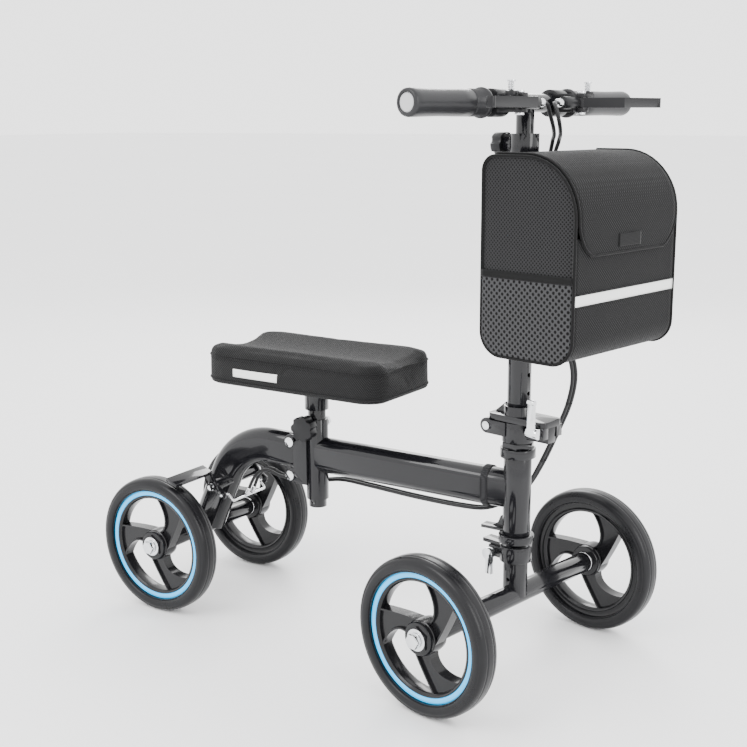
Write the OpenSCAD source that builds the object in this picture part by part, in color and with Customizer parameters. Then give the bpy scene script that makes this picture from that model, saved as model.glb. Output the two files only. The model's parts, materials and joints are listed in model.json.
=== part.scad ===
// Folding knee scooter: a steered front axle, a folding handlebar column, a padded
// knee rest on a sliding post, four small wheels, a rear brake and a front basket.
// Millimetres. X points forward, Y to the rider's left, Z up. The origin is on the
// floor, under the middle of the scooter. The front end rests turned a little right.

/* [Layout] */
// Distance between the front and rear axles
wheelbase = 531; // [480:1:600]
// Distance between the middles of the front tyres
front_track = 356; // [330:1:380]
// Distance between the middles of the rear tyres
rear_track = 223; // [215:1:240]
// Steering angle in which the part rests (negative turns it to the right)
steer_rest = -10.5; // [-25:0.5:0]
// Height of the handlebar's axis
bar_z = 735; // [725:1:760]

/* [Wheels] */
// Diameter over the tyre
wheel_d = 203; // [195:1:208]
// Width of the tyre
tyre_w = 33; // [28:1:36]
// Width of the hub
hub_w = 38; // [34:1:40]
// Diameter of the axle bolts
axle_bolt_d = 10; // [8:1:10]

/* [Frame] */
// Height of the main beam's section
beam_h = 52; // [44:1:56]
// Width of the main beam's section
beam_w = 30; // [24:1:30]
// Height of the main beam's middle line
beam_z = 245; // [240:1:250]
// Wall of the steel tubes
wall = 2.5; // [1.5:0.5:3]
// Radius of the bend in the rear stay
stay_bend_r = 95; // [85:1:105]
// Distance from the steering axis back to the seat post
seat_back = 320; // [310:1:330]

/* [Column] */
// Outer diameter of the folding column
column_d = 30; // [28:1:32]
// Outer diameter of the sliding stem and of the handlebar
stem_d = 22.2; // [20:0.1:24]
// Height of the fold hinge's pin
hinge_z = 330; // [328:1:332]
// Distance from the steering axis back to the fold hinge's pin
hinge_back = 35; // [33:1:38]

/* [Handlebar] */
// Overall width over the grips
bar_w = 430; // [410:1:460]
// Outer diameter of the grips
grip_d = 32; // [30:1:34]
// Length of each grip
grip_l = 132; // [120:1:134]

/* [Knee pad] */
// Length of the pad
pad_l = 304; // [280:1:320]
// Width of the pad
pad_w = 159; // [140:1:180]
// Thickness of the pad at its edges
pad_h = 54; // [45:1:60]
// Height of the pad's underside
pad_z = 348; // [348:1:360]

/* [Basket] */
// Width of the basket
basket_w = 214; // [180:1:230]
// Depth of the basket, front to back
basket_depth = 136; // [120:1:150]
// Height of the basket's floor above the ground
basket_z0 = 441; // [430:1:450]
// Height of the basket's top above the ground
basket_z1 = 679; // [660:1:682]
// Thickness of the fabric walls
basket_wall = 3; // [2:0.5:4]

/* [Hidden] */
$fn = 48;
gap = 0.3;
fit = 0.05;
head_x = 231;
rear_x = head_x - wheelbase;
seat_x = head_x - seat_back;
axle_z = wheel_d / 2;
tube_d = 28;
hub_gap = 1.5;
head_z0 = 186;
head_z1 = 291;
head_d = 36;
head_bore = 30;
cup_d = 46;
steerer_d = 25.4;
bearing_d = 38;
cup_h = 12;
lower_cup_h = 10;
stub_d = 32;
stub_z1 = 158;
seat_tube_d = 31.8;
seat_tube_z0 = 179;
seat_tube_z1 = 298;
post_d = 25.4;
knob_z = 289;
bracket_bolt_x = head_x - 354;
bracket_bolt_z = [262, 212];
bracket_t = 4;
stay_x = head_x - 404;
stay_turn = 65;
stay_end_l = 98;
brake_x = head_x - 478;
brake_z = 182;
brake_arm_y = 49;
brake_tube_d = 16;
shoe_r = 111;
shoe_turn = 21.7;
bail_x = head_x - 457;
bail_z = 167;
bail_y = 44;
wire_d = 4;
flange_z = 339;
flange_t = 8;
column_z0 = flange_z + flange_t;
column_z1 = 690;
collar_z1 = 699;
clamp_knob_z = 686;
latch_x = 43;
latch_z = 334;
cheek_y = 20;
stem_z0 = 440;
perch_y = 59;
pivot_x = 38;
pivot_y = 62;
lever_x = 80;
lever_y = 168;
barrel_x = 36;
lock_pin_x = 37;
lock_pin_y = 77;
basket_x0 = 17.5;
bolt_d = 8;
screw_d = 6;

steel_black = [0.06, 0.06, 0.07];
plastic_black = [0.10, 0.10, 0.11];
rubber_black = [0.04, 0.04, 0.04];
chrome = [0.78, 0.79, 0.80];
fabric_black = [0.16, 0.16, 0.17];
mesh_black = [0.12, 0.12, 0.13];

// ---- Shared shapes ----

// Everything that turns with the front wheels is drawn about the steering axis.
module steered() {
    translate([head_x, 0, 0]) rotate([0, 0, steer_rest]) children();
}

module tube(od, id, z0, z1) {
    translate([0, 0, z0]) difference() {
        cylinder(d = od, h = z1 - z0);
        translate([0, 0, -1]) cylinder(d = id, h = z1 - z0 + 2);
    }
}

// A cylinder along Y from y0 to y1
module rod_y(d, y0, y1) {
    translate([0, y0, 0]) rotate([-90, 0, 0]) cylinder(d = d, h = y1 - y0);
}

// A cylinder along X from x0 to x1
module rod_x(d, x0, x1) {
    translate([x0, 0, 0]) rotate([0, 90, 0]) cylinder(d = d, h = x1 - x0);
}

module hex_y(af, y0, y1) {
    translate([0, y0, 0]) rotate([-90, 0, 0])
        cylinder(d = af / cos(30), h = y1 - y0, $fn = 6);
}

module obround(h, w) {
    square([w, h - w], center = true);
    for (s = [-1, 1]) translate([0, s * (h - w) / 2]) circle(d = w);
}

module beam_section() {
    difference() {
        obround(beam_h, beam_w);
        obround(beam_h - 2 * wall, beam_w - 2 * wall);
    }
}

// A flat plate in the XZ plane, from y0 to y1
module plate_y(y0, y1) {
    translate([0, y1, 0]) rotate([90, 0, 0]) linear_extrude(y1 - y0) children();
}

module round_rect(l, w, r) {
    square([l - 2 * r, w], center = true);
    square([l, w - 2 * r], center = true);
    for (sx = [-1, 1], sy = [-1, 1])
        translate([sx * (l / 2 - r), sy * (w / 2 - r)]) circle(r = r);
}

module mirror_y() {
    children();
    mirror([0, 1, 0]) children();
}

module side_of(left) {
    mirror([0, left ? 0 : 1, 0]) children();
}

// ---- Wheels ----

rim_r = 84;
rim_inner_r = 70;
hub_r = 21;
bearing_r = 14;
bearing_w = 9;

// How far each wheel's middle is from the scooter's middle plane
function front_wheel_y() = front_track / 2;
function rear_wheel_y() = rear_track / 2;

module at_front_wheel(left) {
    steered() side_of(left) translate([0, front_wheel_y(), axle_z]) children();
}

module at_rear_wheel(left) {
    side_of(left) translate([rear_x, rear_wheel_y(), axle_z]) children();
}

module tyre_shape() {
    shoulder = 9;
    rotate([90, 0, 0]) rotate_extrude($fn = 96) intersection() {
        translate([rim_r, -tyre_w]) square([tyre_w, 2 * tyre_w]);
        union() {
            translate([rim_r, -tyre_w / 2 + shoulder])
                square([wheel_d / 2 - rim_r, tyre_w - 2 * shoulder]);
            translate([rim_r, -tyre_w / 2])
                square([wheel_d / 2 - rim_r - shoulder, tyre_w]);
            for (s = [-1, 1])
                translate([wheel_d / 2 - shoulder, s * (tyre_w / 2 - shoulder)])
                    circle(r = shoulder);
        }
    }
}

// A spoke's middle line, from the hub to the rim, and its width along it
spoke_line = [[0, -13], [4, -42], [39, -61]];
spoke_widths = [31, 5, 45];

function bend(p, t) = p[0] * (1 - t) * (1 - t) + p[1] * 2 * t * (1 - t) + p[2] * t * t;
function bend_dir(p, t) = unit((p[1] - p[0]) * (1 - t) + (p[2] - p[1]) * t);

function spoke_edge(side, t) =
    let (d = bend_dir(spoke_line, t), w = bend(spoke_widths, t) / 2)
    bend(spoke_line, t) + side * w * [-d[1], d[0]];

// One swept spoke: broad at the hub, slim at its middle and flared at the rim
module spoke_shape() {
    steps = 16;
    intersection() {
        polygon(concat(
            [for (i = [0:steps]) spoke_edge(1, i / steps)],
            [for (i = [steps:-1:0]) spoke_edge(-1, i / steps)]
        ));
        circle(r = rim_inner_r + 1, $fn = 96);
    }
}

module rim_shape() {
    spoke_t = 16;
    rim_edge = 3;
    rotate([90, 0, 0]) difference() {
        union() {
            rotate_extrude($fn = 96) {
                translate([rim_inner_r, -tyre_w / 2 + rim_edge])
                    square([rim_r - rim_inner_r, tyre_w - 2 * rim_edge]);
                square([hub_r, hub_w / 2]);
                translate([0, -hub_w / 2]) square([hub_r, hub_w / 2]);
            }
            translate([0, 0, -spoke_t / 2]) linear_extrude(spoke_t)
                for (a = [0, 120, 240]) rotate(a) spoke_shape();
        }
        translate([0, 0, -hub_w]) cylinder(r = bearing_r - 3, h = 2 * hub_w);
        for (s = [-1, 1]) translate([0, 0, s * (hub_w / 2 - bearing_w / 2)])
            cylinder(r = bearing_r, h = bearing_w + 0.02, center = true);
    }
}

module bearings_shape() {
    for (s = [-1, 1]) rotate([90, 0, 0])
        translate([0, 0, s * (hub_w / 2 - bearing_w / 2)]) difference() {
            cylinder(r = bearing_r, h = bearing_w, center = true);
            cylinder(d = axle_bolt_d + 2 * fit, h = bearing_w + 2, center = true);
        }
}

module wheel_rim(front, left) {
    color(plastic_black)
        if (front) at_front_wheel(left) rim_shape(); else at_rear_wheel(left) rim_shape();
}

module wheel_tyre(front, left) {
    color(rubber_black)
        if (front) at_front_wheel(left) tyre_shape(); else at_rear_wheel(left) tyre_shape();
}

module wheel_bearings(front, left) {
    color(chrome)
        if (front) at_front_wheel(left) bearings_shape();
        else at_rear_wheel(left) bearings_shape();
}

module front_left_rim() { wheel_rim(true, true); }
module front_left_tyre() { wheel_tyre(true, true); }
module front_left_bearings() { wheel_bearings(true, true); }
module front_right_rim() { wheel_rim(true, false); }
module front_right_tyre() { wheel_tyre(true, false); }
module front_right_bearings() { wheel_bearings(true, false); }
module rear_left_rim() { wheel_rim(false, true); }
module rear_left_tyre() { wheel_tyre(false, true); }
module rear_left_bearings() { wheel_bearings(false, true); }
module rear_right_rim() { wheel_rim(false, false); }
module rear_right_tyre() { wheel_tyre(false, false); }
module rear_right_bearings() { wheel_bearings(false, false); }

// An axle tube with solid ends, bored for its bolts
module axle_tube(half_track) {
    end_y = half_track - hub_w / 2 - hub_gap;
    plug_l = 32;
    difference() {
        rod_y(tube_d, -end_y, end_y);
        rod_y(tube_d - 2 * wall, -end_y + plug_l, end_y - plug_l);
        mirror_y() rod_y(axle_bolt_d, end_y - plug_l + 4, end_y + 1);
    }
}

module axle_bolts(half_track) {
    end_y = half_track - hub_w / 2 - hub_gap;
    head_y = half_track + hub_w / 2 + 0.5;
    mirror_y() {
        rod_y(axle_bolt_d, end_y - 26, head_y + 1);
        rod_y(19, head_y, head_y + 1.5);
        hex_y(17, head_y + 1.5, head_y + 7);
    }
}

// ---- Frame ----

module head_cut() {
    translate([head_x, 0, 0]) cylinder(d = head_d, h = 400, $fn = 64);
}

module seat_cut() {
    translate([seat_x, 0, 0]) cylinder(d = seat_tube_d, h = 400, $fn = 64);
}

module main_beam() {
    color(steel_black) difference() {
        translate([seat_x, 0, beam_z]) rotate([90, 0, 90])
            linear_extrude(seat_back) beam_section();
        head_cut();
        seat_cut();
    }
}

module head_tube() {
    stop_l = 48;
    color(steel_black) {
        translate([head_x, 0, 0]) tube(head_d, head_bore, head_z0, head_z1);
        difference() {
            translate([head_x - stop_l, -8, head_z0 + 2]) cube([stop_l, 16, 4]);
            translate([head_x, 0, 0]) cylinder(d = head_d - 0.5, h = 400);
        }
        difference() {
            translate([head_x, 0, head_z0 + 6]) plate_y(-2, 2)
                polygon([[-34, 0], [-16, 0], [-16, 15], [-22, 15], [-26, 5]]);
            translate([head_x, 0, 0]) cylinder(d = head_d - 0.5, h = 400);
        }
    }
}

module headset_cups() {
    floor_t = 2;
    color(steel_black) translate([head_x, 0, 0]) {
        translate([0, 0, head_z1]) rotate_extrude() {
            translate([steerer_d / 2 + 1, 0])
                square([cup_d / 2 - steerer_d / 2 - 1, floor_t]);
            translate([bearing_d / 2 + fit, 0])
                square([cup_d / 2 - bearing_d / 2 - fit, cup_h]);
        }
        translate([0, 0, head_z0 - lower_cup_h]) rotate_extrude() {
            translate([steerer_d / 2 + 1, lower_cup_h - floor_t])
                square([cup_d / 2 - steerer_d / 2 - 1, floor_t]);
            translate([bearing_d / 2 + fit, 0])
                square([cup_d / 2 - bearing_d / 2 - fit, lower_cup_h]);
        }
    }
}

module seat_tube() {
    boss_d = 18;
    boss_y = 23;
    color(steel_black) difference() {
        union() {
            translate([seat_x, 0, seat_tube_z0])
                cylinder(d = seat_tube_d, h = seat_tube_z1 - seat_tube_z0, $fn = 64);
            translate([seat_x, 0, knob_z]) rod_y(boss_d, -boss_y, -4);
            translate([seat_x, 0, knob_z]) rod_y(boss_d - 3, 4, boss_y - 4);
        }
        translate([seat_x, 0, 0]) cylinder(d = post_d + 2 * fit, h = 400, $fn = 64);
        translate([seat_x, 0, knob_z]) rod_y(bolt_d + 2 * fit, -boss_y - 1, 0);
    }
}

// Two-lobed side plates joined by a web that is welded to the seat tube
module seat_bracket() {
    lobe_r = 11;
    front_x = -6;
    web_x = -seat_tube_d / 2 - bracket_t;
    outer_y = beam_w / 2 + bracket_t;
    color(steel_black) difference() {
        union() {
            mirror_y() translate([seat_x, 0, 0]) plate_y(beam_w / 2, outer_y) {
                for (z = bracket_bolt_z)
                    translate([bracket_bolt_x - seat_x, z]) circle(r = lobe_r);
                translate([bracket_bolt_x - seat_x + 4, bracket_bolt_z[1] - lobe_r])
                    square([seat_x - bracket_bolt_x - 4 + front_x,
                            bracket_bolt_z[0] - bracket_bolt_z[1] + 2 * lobe_r]);
            }
            translate([seat_x + web_x, -outer_y, bracket_bolt_z[1] - lobe_r])
                cube([bracket_t, 2 * outer_y,
                      bracket_bolt_z[0] - bracket_bolt_z[1] + 2 * lobe_r]);
        }
        for (z = bracket_bolt_z)
            translate([bracket_bolt_x, 0, z]) rod_y(bolt_d, -outer_y - 1, outer_y + 1);
    }
}

module stay_path(h, w, tail) {
    translate([stay_x, 0, beam_z]) rotate([90, 0, 90])
        linear_extrude(seat_x - seat_tube_d / 2 - bracket_t - stay_x) obround(h, w);
    translate([stay_x, 0, beam_z - stay_bend_r]) rotate([90, 0, 0]) {
        rotate([0, 0, 90]) rotate_extrude(angle = stay_turn, $fn = 96)
            translate([stay_bend_r, 0]) rotate(90) obround(h, w);
        rotate([0, 0, 90 + stay_turn]) translate([stay_bend_r, 0, 0])
            rotate([-90, 0, 0]) linear_extrude(stay_end_l - tail)
                rotate(90) obround(h, w);
    }
}

module rear_stay() {
    color(steel_black) {
        difference() {
            stay_path(beam_h, beam_w, 6);
            stay_path(beam_h - 2 * wall, beam_w - 2 * wall, 12);
            translate([rear_x, 0, axle_z]) rod_y(tube_d, -40, 40);
            translate([brake_x, 0, brake_z]) rod_y(brake_tube_d, -40, 40);
            translate([bracket_bolt_x, 0, bracket_bolt_z[0]]) rod_y(bolt_d, -40, 40);
        }
        difference() {
            translate([brake_x, 0, brake_z])
                rod_y(brake_tube_d, -brake_arm_y + 3, brake_arm_y - 3);
            translate([brake_x, 0, brake_z])
                rod_y(bolt_d, -brake_arm_y, brake_arm_y);
        }
    }
}

module rear_axle_tube() {
    color(steel_black) translate([rear_x, 0, axle_z]) axle_tube(rear_wheel_y());
}

module frame_bolts() {
    outer_y = beam_w / 2 + bracket_t;
    head_h = 4;
    color(chrome) {
        translate([rear_x, 0, axle_z]) axle_bolts(rear_wheel_y());
        for (z = bracket_bolt_z) translate([bracket_bolt_x, 0, z]) {
            rod_y(bolt_d, -outer_y, outer_y);
            mirror_y() rod_y(14, outer_y, outer_y + head_h);
        }
        translate([brake_x, 0, brake_z]) mirror_y() {
            rod_y(bolt_d, 6, brake_arm_y + 4);
            rod_y(13, brake_arm_y + 3, brake_arm_y + 8);
        }
        translate([seat_x, 0, knob_z]) hex_y(13, 19, 25);
    }
}

module cable_strap() {
    strap_x = head_x - 46;
    color(mesh_black) translate([strap_x, 0, beam_z]) rotate([90, 0, 90])
        linear_extrude(10) difference() {
            obround(beam_h + 4, beam_w + 4);
            obround(beam_h + fit, beam_w + fit);
        }
}

// ---- Steering ----

module head_bearings() {
    ring_h = 8.6;
    color(chrome) translate([head_x, 0, 0])
        for (z = [head_z1 + 2.5, head_z0 - lower_cup_h - 1.1])
            tube(bearing_d, steerer_d + 2 * fit, z, z + ring_h);
}

module steerer_tube() {
    color(steel_black) steered() tube(steerer_d, steerer_d - 5, 118, flange_z - 7);
}

module steerer_stub() {
    hole_z = 126;
    color(steel_black) steered() difference() {
        tube(stub_d, steerer_d, axle_z, stub_z1);
        translate([0, 0, axle_z]) rod_y(tube_d, -30, 30);
        translate([0, 0, hole_z]) rod_y(5, -30, 0);
    }
}

module front_axle_tube() {
    color(steel_black) steered() translate([0, 0, axle_z]) axle_tube(front_wheel_y());
}

module front_axle_bolts() {
    color(chrome) steered() translate([0, 0, axle_z]) axle_bolts(front_wheel_y());
}

// Clamp at the foot of the steerer, with the plate that meets the head tube's stop
module clamp_sleeve() {
    z0 = 150;
    z1 = 171;
    ear_x = -27;
    color(steel_black) steered() difference() {
        union() {
            translate([0, 0, z0]) cylinder(d = 42, h = z1 - z0);
            translate([ear_x - 8, -13, z0 + 1]) cube([24, 26, 15]);
            translate([ear_x - 21, -9, z1 - 5]) cube([40, 18, 5]);
        }
        translate([0, 0, z0 - 1]) cylinder(d = stub_d, h = stub_z1 - z0 + 1);
        translate([0, 0, stub_z1 - 1]) cylinder(d = steerer_d, h = 30);
        translate([ear_x - 10, -1.5, z0 - 1]) cube([24, 3, 17]);
        translate([ear_x, 0, z0 + 8]) rod_y(screw_d + 2 * fit, -14, 14);
    }
}

module clamp_lever() {
    ear_x = -27;
    color(chrome) steered() translate([ear_x, 0, 158]) {
        rod_y(screw_d, -24, 22);
        hex_y(11, 13, 19);
        rod_y(10, -19, -13);
    }
    color(plastic_black) steered() translate([ear_x, 0, 158]) {
        rod_y(16, -27, -19);
        translate([-2, -27, -27]) cube([9, 5, 24]);
    }
}

module steering_locknut() {
    color(steel_black) steered() difference() {
        translate([0, 0, head_z1 + cup_h + 0.5])
            cylinder(d = 38 / cos(30), h = 7.5, $fn = 6);
        translate([0, 0, 280]) cylinder(d = steerer_d, h = 60);
    }
}

module hinge_ear(y0, y1, r) {
    translate([-hinge_back, 0, hinge_z]) rod_y(2 * r, y0, y1);
}

module hinge_lower() {
    z0 = 312;
    z1 = flange_z - 1;
    ear_r = 10;
    color(steel_black) steered() difference() {
        union() {
            translate([0, 0, z0]) cylinder(d = 42, h = z1 - z0);
            mirror_y() {
                hinge_ear(14, 22, ear_r);
                translate([-hinge_back, 14, z0 + 8]) cube([30, 8, z1 - z0 - 8]);
            }
            translate([12, -8, z0 + 6]) cube([latch_x - 3, 16, z1 - z0 - 6]);
        }
        translate([0, 0, z0 - 1]) cylinder(d = steerer_d, h = flange_z - 7 - z0 + 1);
        translate([-hinge_back, 0, hinge_z]) rod_y(bolt_d, -30, 30);
        translate([-hinge_back - 14, -14, z0 - 1]) cube([29, 28, 40]);
        translate([latch_x, 0, latch_z]) rod_y(8, -9, 9);
        translate([latch_x - 4, -9, latch_z]) cube([8, 18, 20]);
    }
}

module hinge_pin() {
    color(chrome) steered() translate([-hinge_back, 0, hinge_z]) {
        rod_y(bolt_d, -23, 23);
        mirror_y() rod_y(11, 22, 24);
    }
}

// ---- Folding column ----

module hinge_upper() {
    knuckle_y = 13.7;
    color(steel_black) steered() difference() {
        union() {
            translate([9, 0, flange_z]) linear_extrude(flange_t)
                round_rect(90, 40, 8);
            hinge_ear(-knuckle_y, knuckle_y, 9.6);
            translate([-hinge_back - 1, -knuckle_y, hinge_z])
                cube([10, 2 * knuckle_y, flange_z - hinge_z + 1]);
            translate([0, 0, flange_z]) cylinder(d = 38, h = flange_t + 12);
            mirror_y() translate([latch_x - 9, 9, latch_z - 9])
                cube([19, cheek_y - 9, flange_z - latch_z + 9 + 1]);
            plate_y(-3, 3) polygon([[-36, column_z0 - 1], [-14, column_z0 - 1],
                                    [-14, column_z0 + 14], [-18, column_z0 + 14]]);
        }
        translate([0, 0, column_z0]) cylinder(d = column_d, h = 60);
        translate([-hinge_back, 0, hinge_z]) rod_y(bolt_d + 2 * fit, -30, 30);
        translate([latch_x, 0, latch_z]) rod_y(screw_d + 0.4, -30, 30);
        mirror_y() translate([-hinge_back - 12, knuckle_y, flange_z - 1])
            cube([24, 10, 2.2]);
    }
}

module column_tube() {
    hole_z = [376, 400];
    color(steel_black) steered() difference() {
        tube(column_d, stem_d + 4 * fit, column_z0, column_z1);
        for (z = hole_z) translate([0, 0, z]) rod_x(5, 0, 20);
    }
}

module column_collar() {
    color(steel_black) steered() difference() {
        union() {
            translate([0, 0, 668]) cylinder(d = 36, h = collar_z1 - 668);
            translate([0, 0, clamp_knob_z]) rod_x(18, -27, -6);
        }
        translate([0, 0, 600]) cylinder(d = column_d, h = column_z1 - 600);
        translate([0, 0, 600]) cylinder(d = stem_d + 4 * fit, h = 200);
        translate([0, 0, clamp_knob_z]) rod_x(bolt_d + 2 * fit, -40, -column_d / 2);
    }
}

module latch_skewer() {
    color(chrome) steered() translate([latch_x, 0, latch_z]) {
        rod_y(screw_d, -cheek_y, cheek_y + 7);
        hex_y(11, cheek_y, cheek_y + 5);
    }
}

// Quick-release lever: a cam on the skewer's end and a blade that stands up
module latch_lever() {
    cam_r = 6.7;
    color(chrome) steered()
        translate([latch_x, -cheek_y - cam_r - gap, latch_z]) {
            rod_x(2 * cam_r, -8, 8);
            translate([-5, -cam_r, 0]) cube([10, 4, 40]);
            translate([-5, -cam_r + 2, 40]) rod_x(7, 0, 10);
        }
}

module lobed_knob(r, h, lobes) {
    difference() {
        cylinder(r = r, h = h);
        for (i = [0:lobes - 1]) rotate(i * 360 / lobes)
            translate([r + 3.5, 0, -1]) cylinder(r = 6, h = h + 2);
    }
}

module height_knob() {
    color(plastic_black) steered() translate([-27.5, 0, clamp_knob_z])
        rotate([0, -90, 0]) lobed_knob(15, 14, 5);
    color(chrome) steered() translate([0, 0, clamp_knob_z])
        rod_x(bolt_d, -27.5, -column_d / 2 - 0.3);
}

// ---- Stem and handlebar ----

module stem_tube() {
    color(steel_black) steered() difference() {
        tube(stem_d, stem_d - 4, stem_z0, bar_z - 3);
        translate([0, 0, bar_z]) rod_y(stem_d, -30, 30);
    }
}

module handlebar() {
    half = bar_w / 2 - 8;
    color(steel_black) steered() translate([0, 0, bar_z]) difference() {
        rod_y(stem_d, -half, half);
        rod_y(stem_d - 4, -half - 1, half + 1);
    }
}

module grip(left) {
    y1 = bar_w / 2;
    y0 = y1 - grip_l;
    color(rubber_black) steered() side_of(left) translate([0, 0, bar_z]) difference() {
        union() {
            rod_y(grip_d, y0 + 6, y1 - 3);
            rod_y(grip_d + 4, y0, y0 + 6);
            rod_y(grip_d - 4, y1 - 3, y1);
        }
        rod_y(stem_d, y0 - 1, y1 - 8);
    }
}

module grip_left() { grip(true); }
module grip_right() { grip(false); }

// Clamp round the bar, an arm to the lever's pivot and a barrel for the cable
module lever_perch(left) {
    fork_h = 22;
    color(plastic_black) steered() side_of(left) translate([0, 0, bar_z]) difference() {
        union() {
            rod_y(33, perch_y - 11, perch_y + 11);
            translate([0, perch_y - 14, -9]) cube([32, 24, 18]);
            translate([pivot_x, pivot_y, -fork_h / 2]) cylinder(r = 9, h = fork_h);
            translate([12, pivot_y - 16, -fork_h / 2]) cube([pivot_x - 12, 25, fork_h]);
            translate([barrel_x, 0, 0]) rod_y(15, 26, pivot_y - 6);
            translate([pivot_x - 9, pivot_y, 7]) cube([18, 15, fork_h / 2 - 7]);
            translate([lock_pin_x, lock_pin_y, 7]) cylinder(d = 15, h = 6);
        }
        rod_y(stem_d, 0, 100);
        translate([pivot_x, pivot_y, -20]) cylinder(d = screw_d, h = 40);
        translate([pivot_x - 12, pivot_y - 10, -6.4]) cube([40, 40, 12.8]);
        translate([barrel_x, 0, 0]) rod_y(7, 20, 80);
        translate([lock_pin_x, lock_pin_y, 0]) cylinder(d = 5 + 2 * fit, h = 30);
    }
}

module lever_perch_left() { lever_perch(true); }
module lever_perch_right() { lever_perch(false); }

module lever_hardware() {
    color(chrome) steered() mirror_y() translate([0, 0, bar_z]) {
        translate([pivot_x, pivot_y, -14]) cylinder(d = screw_d, h = 28);
        for (s = [-1, 1]) translate([pivot_x, pivot_y, s * 12.5])
            cylinder(d = 11, h = 3, center = true);
        translate([barrel_x, 0, 0]) {
            rod_y(7, 22, 34);
            rod_y(10, 15, 26);
        }
    }
}

// The blade swings about an upright pin in the perch's fork
module brake_lever(left) {
    blade_h = 12;
    blade_t = 7;
    color(plastic_black) steered() side_of(left) translate([0, 0, bar_z - blade_h / 2])
        difference() {
            union() {
                translate([pivot_x, pivot_y]) cylinder(r = 8, h = blade_h);
                linear_extrude(blade_h) polygon([
                    [pivot_x - 2, pivot_y + 7], [pivot_x + 7, pivot_y - 4],
                    [lever_x + blade_t / 2, pivot_y + 26],
                    [lever_x + blade_t / 2, pivot_y + 46],
                    [lever_x - blade_t / 2, pivot_y + 46],
                    [lever_x - blade_t / 2, pivot_y + 30]]);
                translate([lever_x - blade_t / 2, pivot_y + 44, 0])
                    cube([blade_t, lever_y - pivot_y - 44, blade_h]);
                translate([lever_x, lever_y, 0]) cylinder(d = blade_t + 3, h = blade_h);
            }
            translate([pivot_x, pivot_y, -1])
                cylinder(d = screw_d + 2 * fit, h = blade_h + 2);
        }
}

module brake_lever_left() { brake_lever(true); }
module brake_lever_right() { brake_lever(false); }

// Parking lock: press the sprung pin while the lever is pulled
module lock_pin(left) {
    color(chrome) steered() side_of(left)
        translate([lock_pin_x, lock_pin_y, bar_z]) {
            translate([0, 0, 12.5]) cylinder(d = 5, h = 11);
            translate([0, 0, 23.5]) cylinder(d = 10, h = 2);
        }
}

module lock_pin_left() { lock_pin(true); }
module lock_pin_right() { lock_pin(false); }

// ---- Basket ----

back_top_r = 20;
front_top_r = 72;
bottom_r = 32;
lid_t = 3;
lid_drop = 118;

// Side outline of the basket in X and Z, grown or shrunk by d
module basket_side(d) {
    x0 = basket_x0 - d;
    x1 = basket_x0 + basket_depth + d;
    z0 = basket_z0 - d;
    z1 = basket_z1 + d;
    intersection() {
        translate([x0, z0]) square([x1 - x0, z1 - z0]);
        union() {
            translate([x0, z0 + bottom_r + d])
                square([x1 - x0, z1 - z0 - bottom_r - front_top_r - 2 * d]);
            translate([x0 + bottom_r + d, z0])
                square([x1 - x0 - 2 * bottom_r - 2 * d, z1 - z0 - front_top_r]);
            for (x = [x0 + bottom_r + d, x1 - bottom_r - d])
                translate([x, z0 + bottom_r + d]) circle(r = bottom_r + d);
            translate([x0 + back_top_r + d, z1 - 110])
                square([x1 - x0 - back_top_r - front_top_r - 2 * d, 110]);
            translate([x0, z1 - 110]) square([60, 110 - back_top_r - d]);
            translate([x0 + back_top_r + d, z1 - back_top_r - d])
                circle(r = back_top_r + d);
            translate([x1 - front_top_r - d, z1 - front_top_r - d])
                circle(r = front_top_r + d);
        }
    }
}

// Open at the top and at the upper front, where the lid closes it
module basket_shell() {
    inner_w = basket_w - 2 * basket_wall;
    color(fabric_black) steered() difference() {
        plate_y(-basket_w / 2, basket_w / 2) basket_side(-lid_t - gap);
        plate_y(-inner_w / 2, inner_w / 2) basket_side(-lid_t - gap - basket_wall);
        translate([basket_x0 + 14, -inner_w / 2, basket_z1 - 40])
            cube([basket_depth, inner_w, 60]);
        translate([basket_x0 + 70, -inner_w / 2, basket_z1 - lid_drop + 30])
            cube([basket_depth, inner_w, 100]);
    }
}

// The flap hinges along the top of the back wall and falls over the front
module basket_lid() {
    flap_w = basket_w - 8;
    color(fabric_black) steered() intersection() {
        difference() {
            plate_y(-flap_w / 2, flap_w / 2) basket_side(0);
            plate_y(-basket_w / 2, basket_w / 2) basket_side(-lid_t);
        }
        union() {
            translate([basket_x0 + back_top_r, -basket_w / 2, basket_z1 - 60])
                cube([basket_depth, basket_w, 80]);
            translate([basket_x0 + basket_depth - 60, -basket_w / 2,
                       basket_z1 - lid_drop]) cube([80, basket_w, 100]);
        }
    }
}

// Webbing loops that hang the basket on the column
module basket_straps() {
    strap_h = 22;
    loop_d = column_d + 0.8;
    color(mesh_black) steered() for (z = [470, 630]) difference() {
        union() {
            translate([0, 0, z]) cylinder(d = loop_d + 3, h = strap_h);
            translate([6, -24, z]) cube([basket_x0 + lid_t + gap - 6.1, 48, strap_h]);
        }
        translate([0, 0, z - 1]) cylinder(d = loop_d, h = strap_h + 2);
    }
}

// ---- Knee rest ----

pad_x = head_x - 317;

module seat_post() {
    hole_z = [176, 196, 216, 236, 256];
    color(steel_black) difference() {
        translate([seat_x, 0, 0]) tube(post_d, post_d - 4, 167, pad_z - 12);
        for (z = hole_z) translate([seat_x, 0, z]) rod_y(6.5, -20, 20);
    }
}

module pad_plate() {
    color(steel_black) {
        translate([seat_x, 0, 0]) difference() {
            translate([0, 0, 312]) cylinder(d = 34, h = pad_z - 4 - 312);
            translate([0, 0, 300]) cylinder(d = post_d, h = pad_z - 12 - 300);
        }
        translate([pad_x, 0, pad_z - 4]) linear_extrude(4 - gap) round_rect(220, 100, 12);
    }
}

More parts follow.
